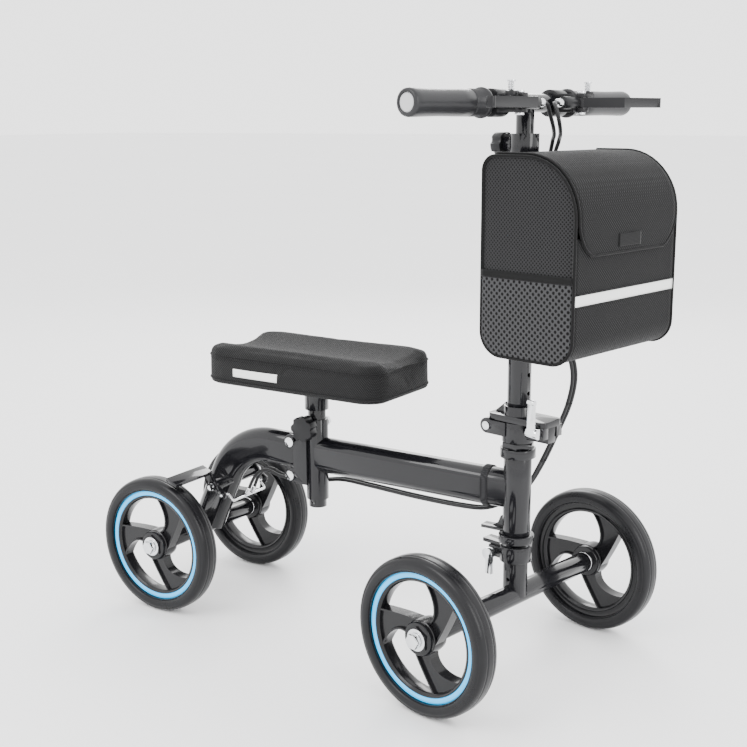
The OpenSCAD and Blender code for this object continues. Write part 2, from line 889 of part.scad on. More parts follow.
// The cushion is rounded at its corners and dished along its length
module knee_pad() {
    corner_r = 31;
    dish_r = 172;
    dish_depth = 9;
    color(mesh_black) translate([pad_x, 0, pad_z]) difference() {
        union() {
            linear_extrude(pad_h - 7) round_rect(pad_l, pad_w, corner_r);
            translate([0, 0, pad_h - 7.01]) linear_extrude(7.01)
                round_rect(pad_l - 8, pad_w - 8, corner_r - 4);
        }
        translate([0, 0, pad_h - dish_depth + dish_r]) rod_x(2 * dish_r, -200, 200, $fn = 180);
    }
}

module seat_knob() {
    color(plastic_black) translate([seat_x, -23.5, knob_z])
        rotate([90, 0, 0]) lobed_knob(18, 15, 7);
    color(chrome) translate([seat_x, 0, knob_z])
        rod_y(bolt_d, -23.5, -post_d / 2 - 0.3);
}

// ---- Rear brake ----

// The arm and its shoe, which lies along the top front of the tyre
module brake_arm() {
    arm_t = 4;
    shoe_y = rear_wheel_y() + 16;
    shoe_x = rear_x + shoe_r * sin(shoe_turn);
    shoe_z = axle_z + shoe_r * cos(shoe_turn);
    difference() {
        union() {
            plate_y(brake_arm_y - arm_t / 2, brake_arm_y + arm_t / 2) {
                translate([brake_x, brake_z]) circle(r = 10);
                polygon([[brake_x - 10, brake_z], [brake_x + 10, brake_z],
                         [shoe_x + 12, shoe_z - 4], [shoe_x - 9, shoe_z + 3]]);
                polygon([[brake_x - 8, brake_z], [brake_x + 10, brake_z + 2],
                         [bail_x + 4, bail_z + 8], [bail_x - 6, bail_z + 2]]);
                translate([bail_x - 2, bail_z + 4]) circle(r = 6);
            }
            translate([shoe_x, brake_arm_y - arm_t / 2, shoe_z])
                rotate([0, shoe_turn, 0]) translate([-10, 0, -2])
                    cube([20, shoe_y - brake_arm_y, 5]);
        }
        translate([brake_x, 0, brake_z]) rod_y(bolt_d + 2 * fit, 30, 70);
        translate([bail_x - 2, 0, bail_z + 4]) rod_y(wire_d, 30, 70);
    }
}

module brake_arms() {
    color(steel_black) mirror_y() brake_arm();
}

// Steel wire that the cables pull, hooked into both arms
module brake_bail() {
    leg = 14;
    corner_d = wire_d + 0.6;
    color(chrome) translate([bail_x - 2, 0, bail_z + 4]) rotate([0, 45, 0]) {
        mirror_y() {
            rod_y(wire_d, bail_y - 6, brake_arm_y + 5);
            translate([0, bail_y - 6, 0]) sphere(d = corner_d);
            translate([0, bail_y - 6, 0]) rod_x(wire_d, 0, leg);
            translate([leg, bail_y - 6, 0]) sphere(d = corner_d);
        }
        translate([leg, 0, 0]) rod_y(wire_d, 6 - bail_y, bail_y - 6);
    }
}

// ---- Brake cables ----

cable_d = 5;

// Turns a point given about the steering axis into the part's frame
function turned(p) = [
    head_x + p[0] * cos(steer_rest) - p[1] * sin(steer_rest),
    p[0] * sin(steer_rest) + p[1] * cos(steer_rest),
    p[2]
];

left_top = [
    [36, 14.6, 735], [37, 8, 734], [43, 3, 729], [46, 3, 720], [44, 10, 709],
    [34, 26, 698], [22, 40, 689]
];
right_top = [
    [36, -14.6, 735], [36, -7, 734], [35, -1, 729], [33, 6, 720], [30, 16, 708],
    [22, 30, 697], [14, 38, 688]
];

// s is 1 for the left lever's cable and -1 for the right lever's
function upper_route(s) = concat(s > 0 ? left_top : right_top, [
    [6, 48 + 4 * s, 660],
    [5, 56 + 4 * s, 600], [5, 64 + 4 * s, 530], [6, 74 + 4 * s, 470],
    [12, 88 + 4 * s, 425], [16, 98 + 4 * s, 385], [10, 97 + 4 * s, 345],
    [0, 84 + 4 * s, 305], [-8, 66 + 4 * s, 268]
]);

function lower_route(s) = [
    [head_x - 6, 44 + 4 * s, 238], [head_x - 22, 28 + 4 * s, 222],
    [head_x - 46, 10 + 4 * s, 211], [head_x - 80, 4 * s, 210],
    [head_x - 150, 4 * s, 210], [head_x - 230, 8 + 4 * s, 210],
    [head_x - 290, 24 + 4 * s, 205], [head_x - 330, 26 + 4 * s, 197],
    [head_x - 364, 16 + 4 * s, 195], [head_x - 388, 4 + 4 * s, 200],
    [head_x - 402, 5 * s, 206]
];

function route(s) = concat([for (p = upper_route(s)) turned(p)], lower_route(s));

function spline(a, b, c, d, t) = 0.5 * (2 * b + (c - a) * t
    + (2 * a - 5 * b + 4 * c - d) * t * t + (3 * b - a - 3 * c + d) * t * t * t);

function smooth(p, n) = [
    for (i = [0:len(p) - 2], k = [0:n - 1])
        spline(p[max(i - 1, 0)], p[i], p[i + 1], p[min(i + 2, len(p) - 1)], k / n),
    p[len(p) - 1]
];

function unit(v) = v / norm(v);

module swept_tube(path, d, sides) {
    count = len(path);
    rings = [
        for (i = [0:count - 1])
            let (dir = unit(path[min(i + 1, count - 1)] - path[max(i - 1, 0)]))
            let (side = unit(cross(dir, abs(dir[0]) > 0.9 ? [0, 1, 0] : [1, 0, 0.02])))
            let (up = cross(side, dir))
            for (k = [0:sides - 1])
                path[i] + d / 2 * (cos(k * 360 / sides) * side + sin(k * 360 / sides) * up)
    ];
    walls = [
        for (i = [0:count - 2], k = [0:sides - 1])
            let (n = (k + 1) % sides)
            [i * sides + k, i * sides + n, (i + 1) * sides + n, (i + 1) * sides + k]
    ];
    start_cap = [for (k = [sides - 1:-1:0]) k];
    end_cap = [for (k = [0:sides - 1]) (count - 1) * sides + k];
    polyhedron(points = rings, faces = concat(walls, [start_cap, end_cap]), convexity = 6);
}

module brake_cable(s) {
    color(rubber_black) swept_tube(smooth(route(s), 2), cable_d, 8);
}

module brake_cable_left() { brake_cable(1); }
module brake_cable_right() { brake_cable(-1); }

// ---- Parts ----

main_beam();
head_tube();
headset_cups();
seat_tube();
seat_bracket();
rear_stay();
rear_axle_tube();
frame_bolts();
cable_strap();
head_bearings();
steerer_tube();
steerer_stub();
front_axle_tube();
front_axle_bolts();
clamp_sleeve();
clamp_lever();
steering_locknut();
hinge_lower();
hinge_pin();
hinge_upper();
column_tube();
column_collar();
latch_skewer();
latch_lever();
height_knob();
stem_tube();
handlebar();
grip_left();
grip_right();
lever_perch_left();
lever_perch_right();
lever_hardware();
brake_lever_left();
brake_lever_right();
lock_pin_left();
lock_pin_right();
basket_shell();
basket_straps();
basket_lid();
seat_post();
pad_plate();
knee_pad();
seat_knob();
brake_arms();
brake_bail();
brake_cable_left();
brake_cable_right();
front_left_rim();
front_left_tyre();
front_left_bearings();
front_right_rim();
front_right_tyre();
front_right_bearings();
rear_left_rim();
rear_left_tyre();
rear_left_bearings();
rear_right_rim();
rear_right_tyre();
rear_right_bearings();
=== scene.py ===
import json
import math

import bmesh
import bpy
from mathutils import Matrix, Vector
from mathutils.bvhtree import BVHTree


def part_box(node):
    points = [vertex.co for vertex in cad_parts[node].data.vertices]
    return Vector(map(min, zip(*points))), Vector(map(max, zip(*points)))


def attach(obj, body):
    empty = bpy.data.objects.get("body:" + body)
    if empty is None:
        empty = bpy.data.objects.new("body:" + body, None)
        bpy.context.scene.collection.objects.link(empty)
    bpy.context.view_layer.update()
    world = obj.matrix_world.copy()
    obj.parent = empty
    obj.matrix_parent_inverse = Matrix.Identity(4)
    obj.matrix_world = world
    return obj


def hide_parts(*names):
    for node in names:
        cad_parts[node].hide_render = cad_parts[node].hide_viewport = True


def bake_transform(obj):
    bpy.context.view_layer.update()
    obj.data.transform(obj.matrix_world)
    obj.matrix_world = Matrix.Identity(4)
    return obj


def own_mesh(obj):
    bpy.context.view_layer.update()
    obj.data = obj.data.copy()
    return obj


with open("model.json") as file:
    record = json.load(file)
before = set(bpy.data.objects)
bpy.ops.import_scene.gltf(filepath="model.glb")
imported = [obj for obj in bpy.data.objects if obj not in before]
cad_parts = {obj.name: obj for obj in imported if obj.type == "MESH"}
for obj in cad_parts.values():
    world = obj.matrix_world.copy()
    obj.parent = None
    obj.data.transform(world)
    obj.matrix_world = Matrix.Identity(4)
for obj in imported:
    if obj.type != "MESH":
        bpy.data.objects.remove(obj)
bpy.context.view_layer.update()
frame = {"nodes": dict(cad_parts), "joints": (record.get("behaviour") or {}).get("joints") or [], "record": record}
NODES = frame["nodes"]
JOINTS = {joint["name"]: joint for joint in frame["joints"]}

bl_info = {
    "name": "Knee scooter",
    "version": (1, 0, 0),
    "blender": (4, 5, 0),
    "location": "View3D > Sidebar > Scooter",
    "description": "Dresses a folding knee scooter: wheels, cushion, basket, grips and cables",
    "category": "Object",
}

# ---- Where things are ----

MM = 0.001
AXLE_Z = JOINTS["rear_left_spin"]["pos_m"][2]
REAR_X = JOINTS["rear_left_spin"]["pos_m"][0]
REAR_HALF_TRACK = JOINTS["rear_left_spin"]["pos_m"][1]
STEER_X = JOINTS["steering_turn"]["pos_m"][0]
LATCH_AXIS = Vector(JOINTS["fold_latch"]["axis"])
STEER_TURN = math.atan2(LATCH_AXIS.y, LATCH_AXIS.x)
STEERED = Matrix.Translation((STEER_X, 0, 0)) @ Matrix.Rotation(STEER_TURN, 4, "Z")
FRONT_HALF_TRACK = (STEERED.inverted() @ Vector(JOINTS["front_left_spin"]["pos_m"])).y
BAR_Z = JOINTS["brake_lever_left_pull"]["pos_m"][2]


def steered(x, y, z):
    """A point given in millimetres about the steering axis, in the scooter's frame."""
    return STEERED @ (Vector((x, y, z)) * MM)


# ---- Meshes ----

def settings():
    return bpy.context.scene.scooter


def link(name, data):
    piece = bpy.data.objects.new(name, data)
    bpy.context.scene.collection.objects.link(piece)
    return piece


def make_piece(name, bm, place=None, smooth=True):
    """Turns a bmesh into a piece whose place is in its mesh."""
    if place is not None:
        bmesh.ops.transform(bm, matrix=place, verts=bm.verts)
    mesh = bpy.data.meshes.new(name)
    bm.to_mesh(mesh)
    bm.free()
    if smooth:
        mesh.polygons.foreach_set("use_smooth", [True] * len(mesh.polygons))
    return link(name, mesh)


def tidy_normals(bm, distance=1e-5):
    bmesh.ops.remove_doubles(bm, verts=bm.verts, dist=distance)
    bmesh.ops.recalc_face_normals(bm, faces=bm.faces)


def chain(bm, points, closed=False):
    """A run of vertices joined by edges."""
    verts = [bm.verts.new(point) for point in points]
    ends = verts[1:] + (verts[:1] if closed else [])
    return [bm.edges.new(pair) for pair in zip(verts, ends)]


def revolve(bm, profile, steps=96, closed=True):
    """Spins a profile of (radius, y) pairs in millimetres about the Y axis."""
    points = [Vector((r, y, 0)) * MM for r, y in profile]
    edges = chain(bm, points, closed)
    verts = list({vert for edge in edges for vert in edge.verts})
    bmesh.ops.spin(bm, geom=verts + edges, cent=(0, 0, 0), axis=(0, 1, 0), dvec=(0, 0, 0),
                   angle=2 * math.pi, steps=steps, use_merge=True, use_duplicate=False)


def soften(piece, width, segments=2, angle=35):
    bevel = piece.modifiers.new("Soft edges", "BEVEL")
    bevel.width = width * MM
    bevel.segments = segments
    bevel.limit_method = "ANGLE"
    bevel.angle_limit = math.radians(angle)
    bevel.harden_normals = True


def dress(piece, body, finish):
    """Gives a piece its finish and joins it to the body it moves with."""
    piece.data.materials.clear()
    piece.data.materials.append(bpy.data.materials[finish])
    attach(piece, body)
    return piece


def tube_mesh(name, points, radius, sides=10, closed=False):
    """A round tube along points, made as a curve and turned into a mesh."""
    data = bpy.data.curves.new(name, "CURVE")
    data.dimensions = "3D"
    data.bevel_depth = radius
    data.bevel_resolution = max(1, sides // 4)
    data.use_fill_caps = not closed
    spline = data.splines.new("POLY")
    spline.points.add(len(points) - 1)
    for spot, point in zip(spline.points, points):
        spot.co = (*point, 1)
    spline.use_cyclic_u = closed
    carrier = link(name + "_path", data)
    bpy.context.view_layer.update()
    mesh = bpy.data.meshes.new_from_object(carrier.evaluated_get(
        bpy.context.evaluated_depsgraph_get()))
    bpy.data.objects.remove(carrier)
    bm = bmesh.new()
    bm.from_mesh(mesh)
    tidy_normals(bm)
    bpy.data.meshes.remove(mesh)
    return make_piece(name, bm)


def smooth_path(points, steps=6):
    """Points along a smooth curve through the given ones."""
    out = []
    last = len(points) - 1
    for i in range(last):
        a, b, c, d = (points[max(i - 1, 0)], points[i], points[i + 1], points[min(i + 2, last)])
        for k in range(steps):
            t = k / steps
            out.append(0.5 * (2 * b + (c - a) * t + (2 * a - 5 * b + 4 * c - d) * t * t
                              + (3 * b - a - 3 * c + d) * t ** 3))
    out.append(points[-1])
    return out


# ---- Finishes ----

def add(tree, kind, values=None, **fields):
    node = tree.nodes.new(kind)
    for key, value in fields.items():
        setattr(node, key, value)
    for key, value in (values or {}).items():
        node.inputs[key].default_value = value
    return node


def maths(tree, operation, first, second=None, third=None, clamp=False):
    node = add(tree, "ShaderNodeMath", operation=operation, use_clamp=clamp)
    for i, value in enumerate((first, second, third)):
        if value is None:
            continue
        if isinstance(value, (int, float)):
            node.inputs[i].default_value = value
        else:
            tree.links.new(value, node.inputs[i])
    return node.outputs[0]


def place_of(tree, turn=0.0, scale=(1, 1, 1)):
    """Object coordinates, turned about Z and scaled."""
    source = add(tree, "ShaderNodeTexCoord")
    mapping = add(tree, "ShaderNodeMapping", {"Rotation": (0, 0, turn), "Scale": scale})
    tree.links.new(source.outputs["Object"], mapping.inputs["Vector"])
    return mapping.outputs["Vector"]


def ripple(tree, where, direction, pitch):
    """A wave from 0 to 1 that repeats every pitch metres along a direction."""
    along = Vector(direction).normalized() * (2 * math.pi / pitch)
    dot = add(tree, "ShaderNodeVectorMath", operation="DOT_PRODUCT")
    tree.links.new(where, dot.inputs[0])
    dot.inputs[1].default_value = along
    wave = maths(tree, "SINE", dot.outputs["Value"])
    return maths(tree, "MULTIPLY_ADD", wave, 0.5, 0.5)


def grain(tree, where, scale, detail=2.0, roughness=0.5):
    node = add(tree, "ShaderNodeTexNoise", {"Scale": scale, "Detail": detail,
                                            "Roughness": roughness})
    tree.links.new(where, node.inputs["Vector"])
    return node.outputs["Fac"]


def blend_colour(tree, amount, low, high):
    node = add(tree, "ShaderNodeMix", data_type="RGBA")
    tree.links.new(amount, node.inputs["Factor"])
    node.inputs["A"].default_value = (*low, 1)
    node.inputs["B"].default_value = (*high, 1)
    return node.outputs["Result"]


def spread(tree, amount, low, high):
    node = add(tree, "ShaderNodeMapRange", {"To Min": low, "To Max": high})
    tree.links.new(amount, node.inputs["Value"])
    return node.outputs["Result"]


def raise_surface(tree, height, distance, strength=1.0, under=None):
    node = add(tree, "ShaderNodeBump", {"Strength": strength, "Distance": distance})
    tree.links.new(height, node.inputs["Height"])
    if under is not None:
        tree.links.new(under, node.inputs["Normal"])
    return node.outputs["Normal"]


def new_finish(name, **numbers):
    made = bpy.data.materials.new(name)
    made.use_nodes = True
    shader = made.node_tree.nodes["Principled BSDF"]
    for key, value in numbers.items():
        shader.inputs[key.replace("_", " ")].default_value = value
    return made.node_tree, shader


def wire(tree, shader, **sockets):
    for key, socket in sockets.items():
        tree.links.new(socket, shader.inputs[key.replace("_", " ")])


def hard_finish(name, colour, lighter, rough, coat=0.0, metallic=0.0, peel=700.0, depth=0.00002):
    """Paint, plastic, rubber or metal: mottled colour, uneven gloss and a fine surface."""
    tree, shader = new_finish(name, Metallic=metallic, Coat_Weight=coat, Coat_Roughness=0.06,
                              Specular_IOR_Level=0.5 if metallic else 0.22)
    where = place_of(tree)
    cloudy = grain(tree, where, 34.0, 4.0, 0.6)
    fine = grain(tree, where, peel, 2.0)
    wire(tree, shader, Base_Color=blend_colour(tree, cloudy, colour, lighter),
         Roughness=spread(tree, cloudy, *rough),
         Normal=raise_surface(tree, fine, depth))
    return tree, shader


def cloth_finish(name, thread, gap, where_turn, first, second, depth, sheen=0.06):
    """Woven or knitted fabric from two crossing ripples, each (direction, pitch)."""
    tree, shader = new_finish(name, Sheen_Weight=sheen, Sheen_Roughness=0.4,
                              Specular_IOR_Level=0.12)
    where = place_of(tree, where_turn)
    wave = maths(tree, "MULTIPLY", ripple(tree, where, *first), ripple(tree, where, *second))
    both = maths(tree, "POWER", wave, 0.6)
    fibre = grain(tree, where, 1800.0, 3.0, 0.7)
    height = maths(tree, "MULTIPLY_ADD", fibre, 0.25, both)
    dirt = grain(tree, where, 14.0, 3.0)
    colour = add(tree, "ShaderNodeMix", data_type="RGBA", blend_type="MULTIPLY")
    colour.inputs["Factor"].default_value = 0.45
    tree.links.new(blend_colour(tree, both, gap, thread), colour.inputs["A"])
    tree.links.new(blend_colour(tree, dirt, (0.72, 0.72, 0.73), (1.15, 1.15, 1.15)),
                   colour.inputs["B"])
    wire(tree, shader, Base_Color=colour.outputs["Result"],
         Roughness=spread(tree, fibre, 0.62, 0.9),
         Normal=raise_surface(tree, height, depth))
    return tree, shader


def mesh_finish(name, thread, hole, turn, pitch, depth):
    """Knitted net with rows of small holes, laid out over X and Z."""
    tree, shader = new_finish(name, Sheen_Weight=0.05, Sheen_Roughness=0.4,
                              Specular_IOR_Level=0.12)
    where = place_of(tree, turn)
    parts = add(tree, "ShaderNodeSeparateXYZ")
    tree.links.new(where, parts.inputs[0])
    flat = add(tree, "ShaderNodeCombineXYZ")
    for way, socket in (("ADD", "X"), ("SUBTRACT", "Y")):
        slant = maths(tree, way, parts.outputs["X"], parts.outputs["Z"])
        tree.links.new(slant, flat.inputs[socket])
    cells = add(tree, "ShaderNodeTexVoronoi", {"Scale": 1.414 / pitch / 2, "Randomness": 0.0},
                voronoi_dimensions="2D")
    tree.links.new(flat.outputs[0], cells.inputs["Vector"])
    edge = add(tree, "ShaderNodeMapRange", {"From Min": 0.22, "From Max": 0.42},
               interpolation_type="SMOOTHSTEP")
    tree.links.new(cells.outputs["Distance"], edge.inputs["Value"])
    net = edge.outputs["Result"]
    fibre = grain(tree, where, 1500.0, 3.0, 0.7)
    height = maths(tree, "MULTIPLY_ADD", fibre, 0.3, net)
    wire(tree, shader, Base_Color=blend_colour(tree, net, hole, thread),
         Roughness=spread(tree, fibre, 0.6, 0.88),
         Normal=raise_surface(tree, height, depth))
    return tree, shader


def make_finishes():
    paint = tuple(settings().paint_colour)
    accent = tuple(settings().accent_colour)
    pitch = settings().rib_pitch
    turn = -STEER_TURN
    lift = [c * 1.7 + 0.001 for c in paint]
    hard_finish("gloss_black_paint", paint, lift, (0.12, 0.22), coat=0.35, depth=0.000012)
    hard_finish("moulded_plastic", (0.006, 0.006, 0.007), (0.012, 0.012, 0.013), (0.26, 0.4),
                peel=1600.0, depth=0.00003)
    hard_finish("wheel_plastic_black", (0.004, 0.004, 0.005), (0.008, 0.008, 0.009),
                (0.16, 0.28), coat=0.15, peel=500.0, depth=0.000015)
    hard_finish("tyre_black", (0.004, 0.004, 0.005), (0.009, 0.009, 0.01), (0.22, 0.36),
                peel=900.0, depth=0.00004)
    hard_finish("grip_black", (0.014, 0.014, 0.015), (0.026, 0.026, 0.028), (0.26, 0.38),
                peel=1500.0, depth=0.00005)
    hard_finish("plug_grey", (0.4, 0.4, 0.41), (0.5, 0.5, 0.51), (0.3, 0.42), peel=1200.0)
    hard_finish("bright_chrome", (0.62, 0.63, 0.65), (0.8, 0.81, 0.82), (0.06, 0.16),
                metallic=1.0, peel=300.0, depth=0.000008)
    hard_finish("satin_steel", (0.42, 0.43, 0.44), (0.6, 0.6, 0.61), (0.24, 0.36),
                metallic=1.0, peel=1200.0, depth=0.00002)
    hard_finish("cable_sheath", (0.012, 0.012, 0.013), (0.02, 0.02, 0.021), (0.34, 0.46),
                peel=1400.0, depth=0.00002)
    cloth_finish("cushion_mesh", (0.03, 0.03, 0.031), (0.001, 0.001, 0.001), 0.0,
                 ((1, 1, 1), pitch * math.sqrt(2 / 3)), ((1, -1, -1), pitch * 0.45), 0.0007)
    cloth_finish("woven_basket", (0.014, 0.014, 0.015), (0.003, 0.003, 0.003), turn,
                 ((1, 1, 1), 0.0024), ((1, -1, 1), 0.0024), 0.0003)
    cloth_finish("edge_binding", (0.009, 0.009, 0.01), (0.004, 0.004, 0.004), turn,
                 ((1, 0, 1), 0.0011), ((0, 1, 0), 0.0011), 0.0001, sheen=0.1)
    cloth_finish("strap_webbing", (0.035, 0.035, 0.037), (0.01, 0.01, 0.011), turn,
                 ((0, 0, 1), 0.0022), ((0, 1, 0), 0.0016), 0.0003)
    mesh_finish("fine_side_mesh", (0.02, 0.02, 0.021), (0.002, 0.002, 0.002), turn, 0.0034,
                0.0004)
    mesh_finish("pocket_mesh", (0.04, 0.04, 0.042), (0.001, 0.001, 0.001), turn, 0.0056,
                0.0009)
    tree, shader = new_finish("reflective_strip", Coat_Weight=0.3, Coat_Roughness=0.15)
    where = place_of(tree, turn, (0, 1, 1))
    beads = add(tree, "ShaderNodeTexVoronoi", {"Scale": 700.0})
    tree.links.new(where, beads.inputs["Vector"])
    wire(tree, shader,
         Base_Color=blend_colour(tree, beads.outputs["Distance"], (0.82, 0.82, 0.8),
                                 (0.7, 0.71, 0.7)),
         Roughness=spread(tree, beads.outputs["Distance"], 0.3, 0.5),
         Normal=raise_surface(tree, beads.outputs["Distance"], 0.00008))
    # The rings are no lamps: their emission is a painted glow. Where a ring faces the viewer its emission is
    # paler, a painted highlight, and towards its edges it is darker, a painted shade; random cloudy tone mixes in.
    tree, shader = new_finish("accent_ring", Roughness=0.18, Coat_Weight=0.6,
                              Emission_Strength=settings().ring_painted_glow)
    facing = add(tree, "ShaderNodeLayerWeight", {"Blend": 0.45})
    cloudy = grain(tree, place_of(tree), 16.0, 1.0)
    # Mask of the painted glow: random cloudy tone plus the facing falloff that paints the highlight at the core
    # and the shade at the edges.
    painted_glow = maths(tree, "MULTIPLY_ADD", cloudy, 0.6, facing.outputs["Facing"])
    deep = [c * 0.45 for c in accent]
    # Paler colour of the painted highlight at the ring's core.
    pale = [min(1.0, c + 0.03) for c in accent]
    colour = blend_colour(tree, painted_glow, pale, deep)
    wire(tree, shader, Emission_Color=colour,
         Base_Color=blend_colour(tree, cloudy, deep, accent))


CAD_FINISHES = {
    "frame_paint": "gloss_black_paint",
    "black_plastic": "moulded_plastic",
    "wheel_plastic": "wheel_plastic_black",
    "tyre_rubber": "tyre_black",
    "grip_rubber": "grip_black",
    "chrome_steel": "bright_chrome",
    "pad_mesh": "cushion_mesh",
    "basket_fabric": "strap_webbing",
    "cable_sleeve": "cable_sheath",
}


class SCOOTER_OT_finishes(bpy.types.Operator):
    """Makes every finish and puts it on the frame's own nodes"""
    bl_idname = "scooter.finishes"
    bl_label = "Finishes"

    def execute(self, context):
        make_finishes()
        for part in frame["record"]["subparts"]:
            node = NODES[part["node"]]
            node.data.materials.clear()
            node.data.materials.append(bpy.data.materials[CAD_FINISHES[part["material_slot"]]])
            node.data.polygons.foreach_set("use_smooth", [True] * len(node.data.polygons))
            weld = node.modifiers.new("Weld", "WELD")
            weld.merge_threshold = 0.00002
            soften(node, 0.5)
        return {"FINISHED"}


# ---- Stage ----

class SCOOTER_OT_stage(bpy.types.Operator):
    """Lays a pale floor, sets soft studio lights and places the camera"""
    bl_idname = "scooter.stage"
    bl_label = "Stage"

    def light(self, name, place, target, size, power, height=None):
        data = bpy.data.lights.new(name, "AREA")
        data.shape = "RECTANGLE"
        data.size = size
        data.size_y = height or size
        data.energy = power
        lamp = link(name, data)
        lamp.location = place
        lamp.rotation_euler = (Vector(target) - Vector(place)).to_track_quat(
            "-Z", "Y").to_euler()

    def execute(self, context):
        bm = bmesh.new()
        bmesh.ops.create_grid(bm, x_segments=8, y_segments=8, size=40.0)
        floor = make_piece("studio_floor", bm)
        tree, shader = new_finish("floor_white", Roughness=0.55)
        wire(tree, shader, Base_Color=blend_colour(
            tree, grain(tree, place_of(tree), 0.7, 2.0), (0.86, 0.86, 0.87), (0.9, 0.9, 0.9)))
        floor.data.materials.append(bpy.data.materials["floor_white"])
        world = bpy.data.worlds.new("studio")
        world.use_nodes = True
        world.node_tree.nodes["Background"].inputs["Color"].default_value = (1, 1, 1, 1)
        world.node_tree.nodes["Background"].inputs["Strength"].default_value = 2.7
        context.scene.world = world
        self.light("key", (-0.6, -2.2, 2.6), (0, 0, 0.3), 1.6, 60.0)
        self.light("side", (2.6, -0.6, 1.4), (0.1, 0, 0.4), 0.8, 30.0, 1.8)
        self.light("back", (-1.2, 2.2, 1.8), (0, 0, 0.4), 1.2, 40.0)
        data = bpy.data.cameras.new("camera")
        data.sensor_width = 36.0
        data.lens = 57.40
        camera = link("camera", data)
        azimuth, elevation, roll = (math.radians(v) for v in (33.42, 12.21, -0.27))
        back = Vector((math.sin(azimuth) * math.cos(elevation),
                       -math.cos(azimuth) * math.cos(elevation), math.sin(elevation)))
        right = Vector((math.cos(azimuth), math.sin(azimuth), 0))
        up = back.cross(right)
        right, up = (right * math.cos(roll) + up * math.sin(roll),
                     up * math.cos(roll) - right * math.sin(roll))
        turn = Matrix((right, up, back)).transposed().to_4x4()
        camera.matrix_world = Matrix.Translation((0.8906, -1.33666, 0.72075)) @ turn
        context.scene.camera = camera
        return {"FINISHED"}


# ---- Wheels ----

RING_RADIUS = 78.9
RING_FACE = 9.1
SPOKE_LINE = (Vector((0, -13)), Vector((4, -42)), Vector((39, -61)))
SPOKE_WIDTHS = (31, 5, 45)
RIM_INNER = 70.0


def bend(three, t):
    return three[0] * (1 - t) ** 2 + three[1] * 2 * t * (1 - t) + three[2] * t * t


def wheel_place(front, left):
    """The matrix that puts a wheel drawn with its outer face at +Y in its place."""
    half = FRONT_HALF_TRACK if front else REAR_HALF_TRACK
    side = Matrix.Identity(4) if left else Matrix.Scale(-1, 4, (0, 1, 0))
    place = side @ Matrix.Translation((0, half, AXLE_Z))
    return STEERED @ place if front else Matrix.Translation((REAR_X, 0, 0)) @ place


def spoke(turn):
    """A swept spoke with a raised lip along both of its sides."""
    depth, lip, floor, long_steps, cross_steps = 8.0, 2.4, 3.4, 24, 8
    bm = bmesh.new()
    bmesh.ops.create_grid(bm, x_segments=long_steps, y_segments=cross_steps, size=0.5)
    made = bmesh.ops.extrude_face_region(bm, geom=bm.faces[:])["geom"]
    back = {g for g in made if isinstance(g, bmesh.types.BMVert)}
    for vert in bm.verts:
        t = (vert.co.x + 0.5) * 1.18
        row = round((vert.co.y + 0.5) * cross_steps)
        half = bend(SPOKE_WIDTHS, t) / 2
        edge = min(lip, half * 0.45)
        slope = min(0.9, half * 0.25)
        inner = half - edge - slope
        reach = (half, half - edge)[min(row, cross_steps - row)] if min(
            row, cross_steps - row) < 2 else inner * abs(row - 4) / 2
        side = 1 if row > 4 else -1
        height = depth if min(row, cross_steps - row) < 2 else depth - floor
        along = ((SPOKE_LINE[1] - SPOKE_LINE[0]) * (1 - t)
                 + (SPOKE_LINE[2] - SPOKE_LINE[1]) * t).normalized()
        spot = bend(SPOKE_LINE, t) + Vector((-along.y, along.x)) * (side * reach)
        if spot.length > RIM_INNER + 1:
            spot = spot.normalized() * (RIM_INNER + 1)
        vert.co = Vector((spot.x, -height if vert in back else height, spot.y)) * MM
    bmesh.ops.dissolve_degenerate(bm, dist=2e-5, edges=bm.edges)
    bmesh.ops.recalc_face_normals(bm, faces=bm.faces)
    bmesh.ops.rotate(bm, verts=bm.verts, cent=(0, 0, 0),
                     matrix=Matrix.Rotation(-turn, 3, "Y"))
    return bm


